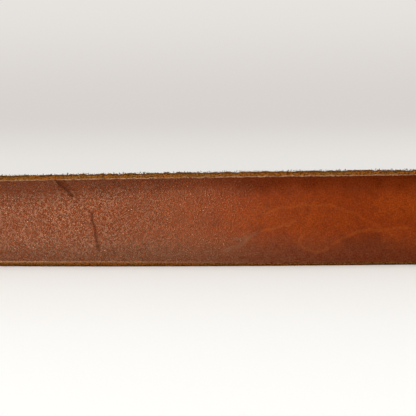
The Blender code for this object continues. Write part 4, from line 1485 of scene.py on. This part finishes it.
class BELT_OT_stage(bpy.types.Operator):
    """Sets the floor, the lights and the camera"""

    bl_idname = "belt.stage"
    bl_label = "Stage"

    def execute(self, context):
        settings = context.scene.belt_stage
        mesh = bmesh.new()
        bmesh.ops.create_circle(mesh, cap_ends=True, segments=96, radius=FLOOR_RADIUS)
        data = bpy.data.meshes.new("floor")
        mesh.to_mesh(data)
        mesh.free()
        made, tree, shader = new_material("floor_paper")
        # The floor is painted brighter towards the camera: a painted pool of light over its own colour
        near = tree.fade(tree.separate(tree.place())[1], -0.15, -0.85)
        tree.give(shader.inputs["Base Color"], tree.mix(near, settings.floor, (0.97, 0.97, 0.955)))
        tree.give(shader.inputs["Roughness"], 0.9)
        tree.give(shader.inputs["Specular IOR Level"], 0.0)
        data.materials.append(made)
        floor = bpy.data.objects.new("floor", data)
        context.scene.collection.objects.link(floor)

        studio_world()
        front = at(FRONT_MIDDLE, STRAP_THICK, MID)
        x, y = front.x, front.y
        area_light("window_left", 7, 0.60, (x - 1.15, y - 0.75, 0.38), front, shine=False)
        sheen = area_light("sheen_left", 72, 0.22, (x - 1.30, y - 0.62, 0.36), front)
        sheen.visible_diffuse = False
        area_light("overhead", 14, 2.6, (x, y - 0.3, 2.2), (x, y - 0.3, 0), shine=False)
        area_light("fill_front", 17, 1.2, (x + 0.2, y - 2.2, 0.90), front, shine=False)

        camera = bpy.data.cameras.new("camera")
        camera.lens = settings.lens
        camera.clip_start = 0.01
        holder = bpy.data.objects.new("camera", camera)
        holder.matrix_world = (
            Matrix.Translation((front.x - SEEN_LEFT, front.y - settings.distance, settings.height))
            @ Matrix.Rotation(math.pi / 2, 4, "X")
            @ Matrix.Rotation(settings.roll, 4, "Z")
        )
        context.scene.collection.objects.link(holder)
        context.scene.camera = holder
        context.scene.view_settings.view_transform = "Standard"
        return {"FINISHED"}


class BELT_PT_panel(bpy.types.Panel):
    """Lists the belt's pieces"""

    bl_idname = "BELT_PT_panel"
    bl_label = "Money Belt"
    bl_space_type = "VIEW_3D"
    bl_region_type = "UI"
    bl_category = "Money Belt"

    def draw(self, context):
        for operator in OPERATORS:
            self.layout.operator(operator.bl_idname)


OPERATORS = (
    BELT_OT_strap,
    BELT_OT_tongue,
    BELT_OT_fibres,
    BELT_OT_pocket,
    BELT_OT_tapes,
    BELT_OT_coils,
    BELT_OT_seam,
    BELT_OT_zip_metal,
    BELT_OT_buckle,
    BELT_OT_screws,
    BELT_OT_keepers,
    BELT_OT_stage,
)


def register():
    for group in SETTINGS.values():
        bpy.utils.register_class(group)
    for name, group in SETTINGS.items():
        setattr(bpy.types.Scene, name, PointerProperty(type=group))
    for operator in OPERATORS:
        bpy.utils.register_class(operator)
    bpy.utils.register_class(BELT_PT_panel)


def unregister():
    bpy.utils.unregister_class(BELT_PT_panel)
    for operator in reversed(OPERATORS):
        bpy.utils.unregister_class(operator)
    for name, group in SETTINGS.items():
        delattr(bpy.types.Scene, name)
        bpy.utils.unregister_class(group)


def main():
    register()
    make_materials(bpy.context.scene)
    bpy.ops.belt.strap()
    bpy.ops.belt.tongue()
    bpy.ops.belt.fibres()
    bpy.ops.belt.pocket()
    bpy.ops.belt.tapes()
    bpy.ops.belt.coils()
    bpy.ops.belt.seam()
    bpy.ops.belt.zip_metal()
    bpy.ops.belt.buckle()
    bpy.ops.belt.screws()
    bpy.ops.belt.keepers()
    bpy.ops.belt.stage()


if __name__ == "__main__":
    main()
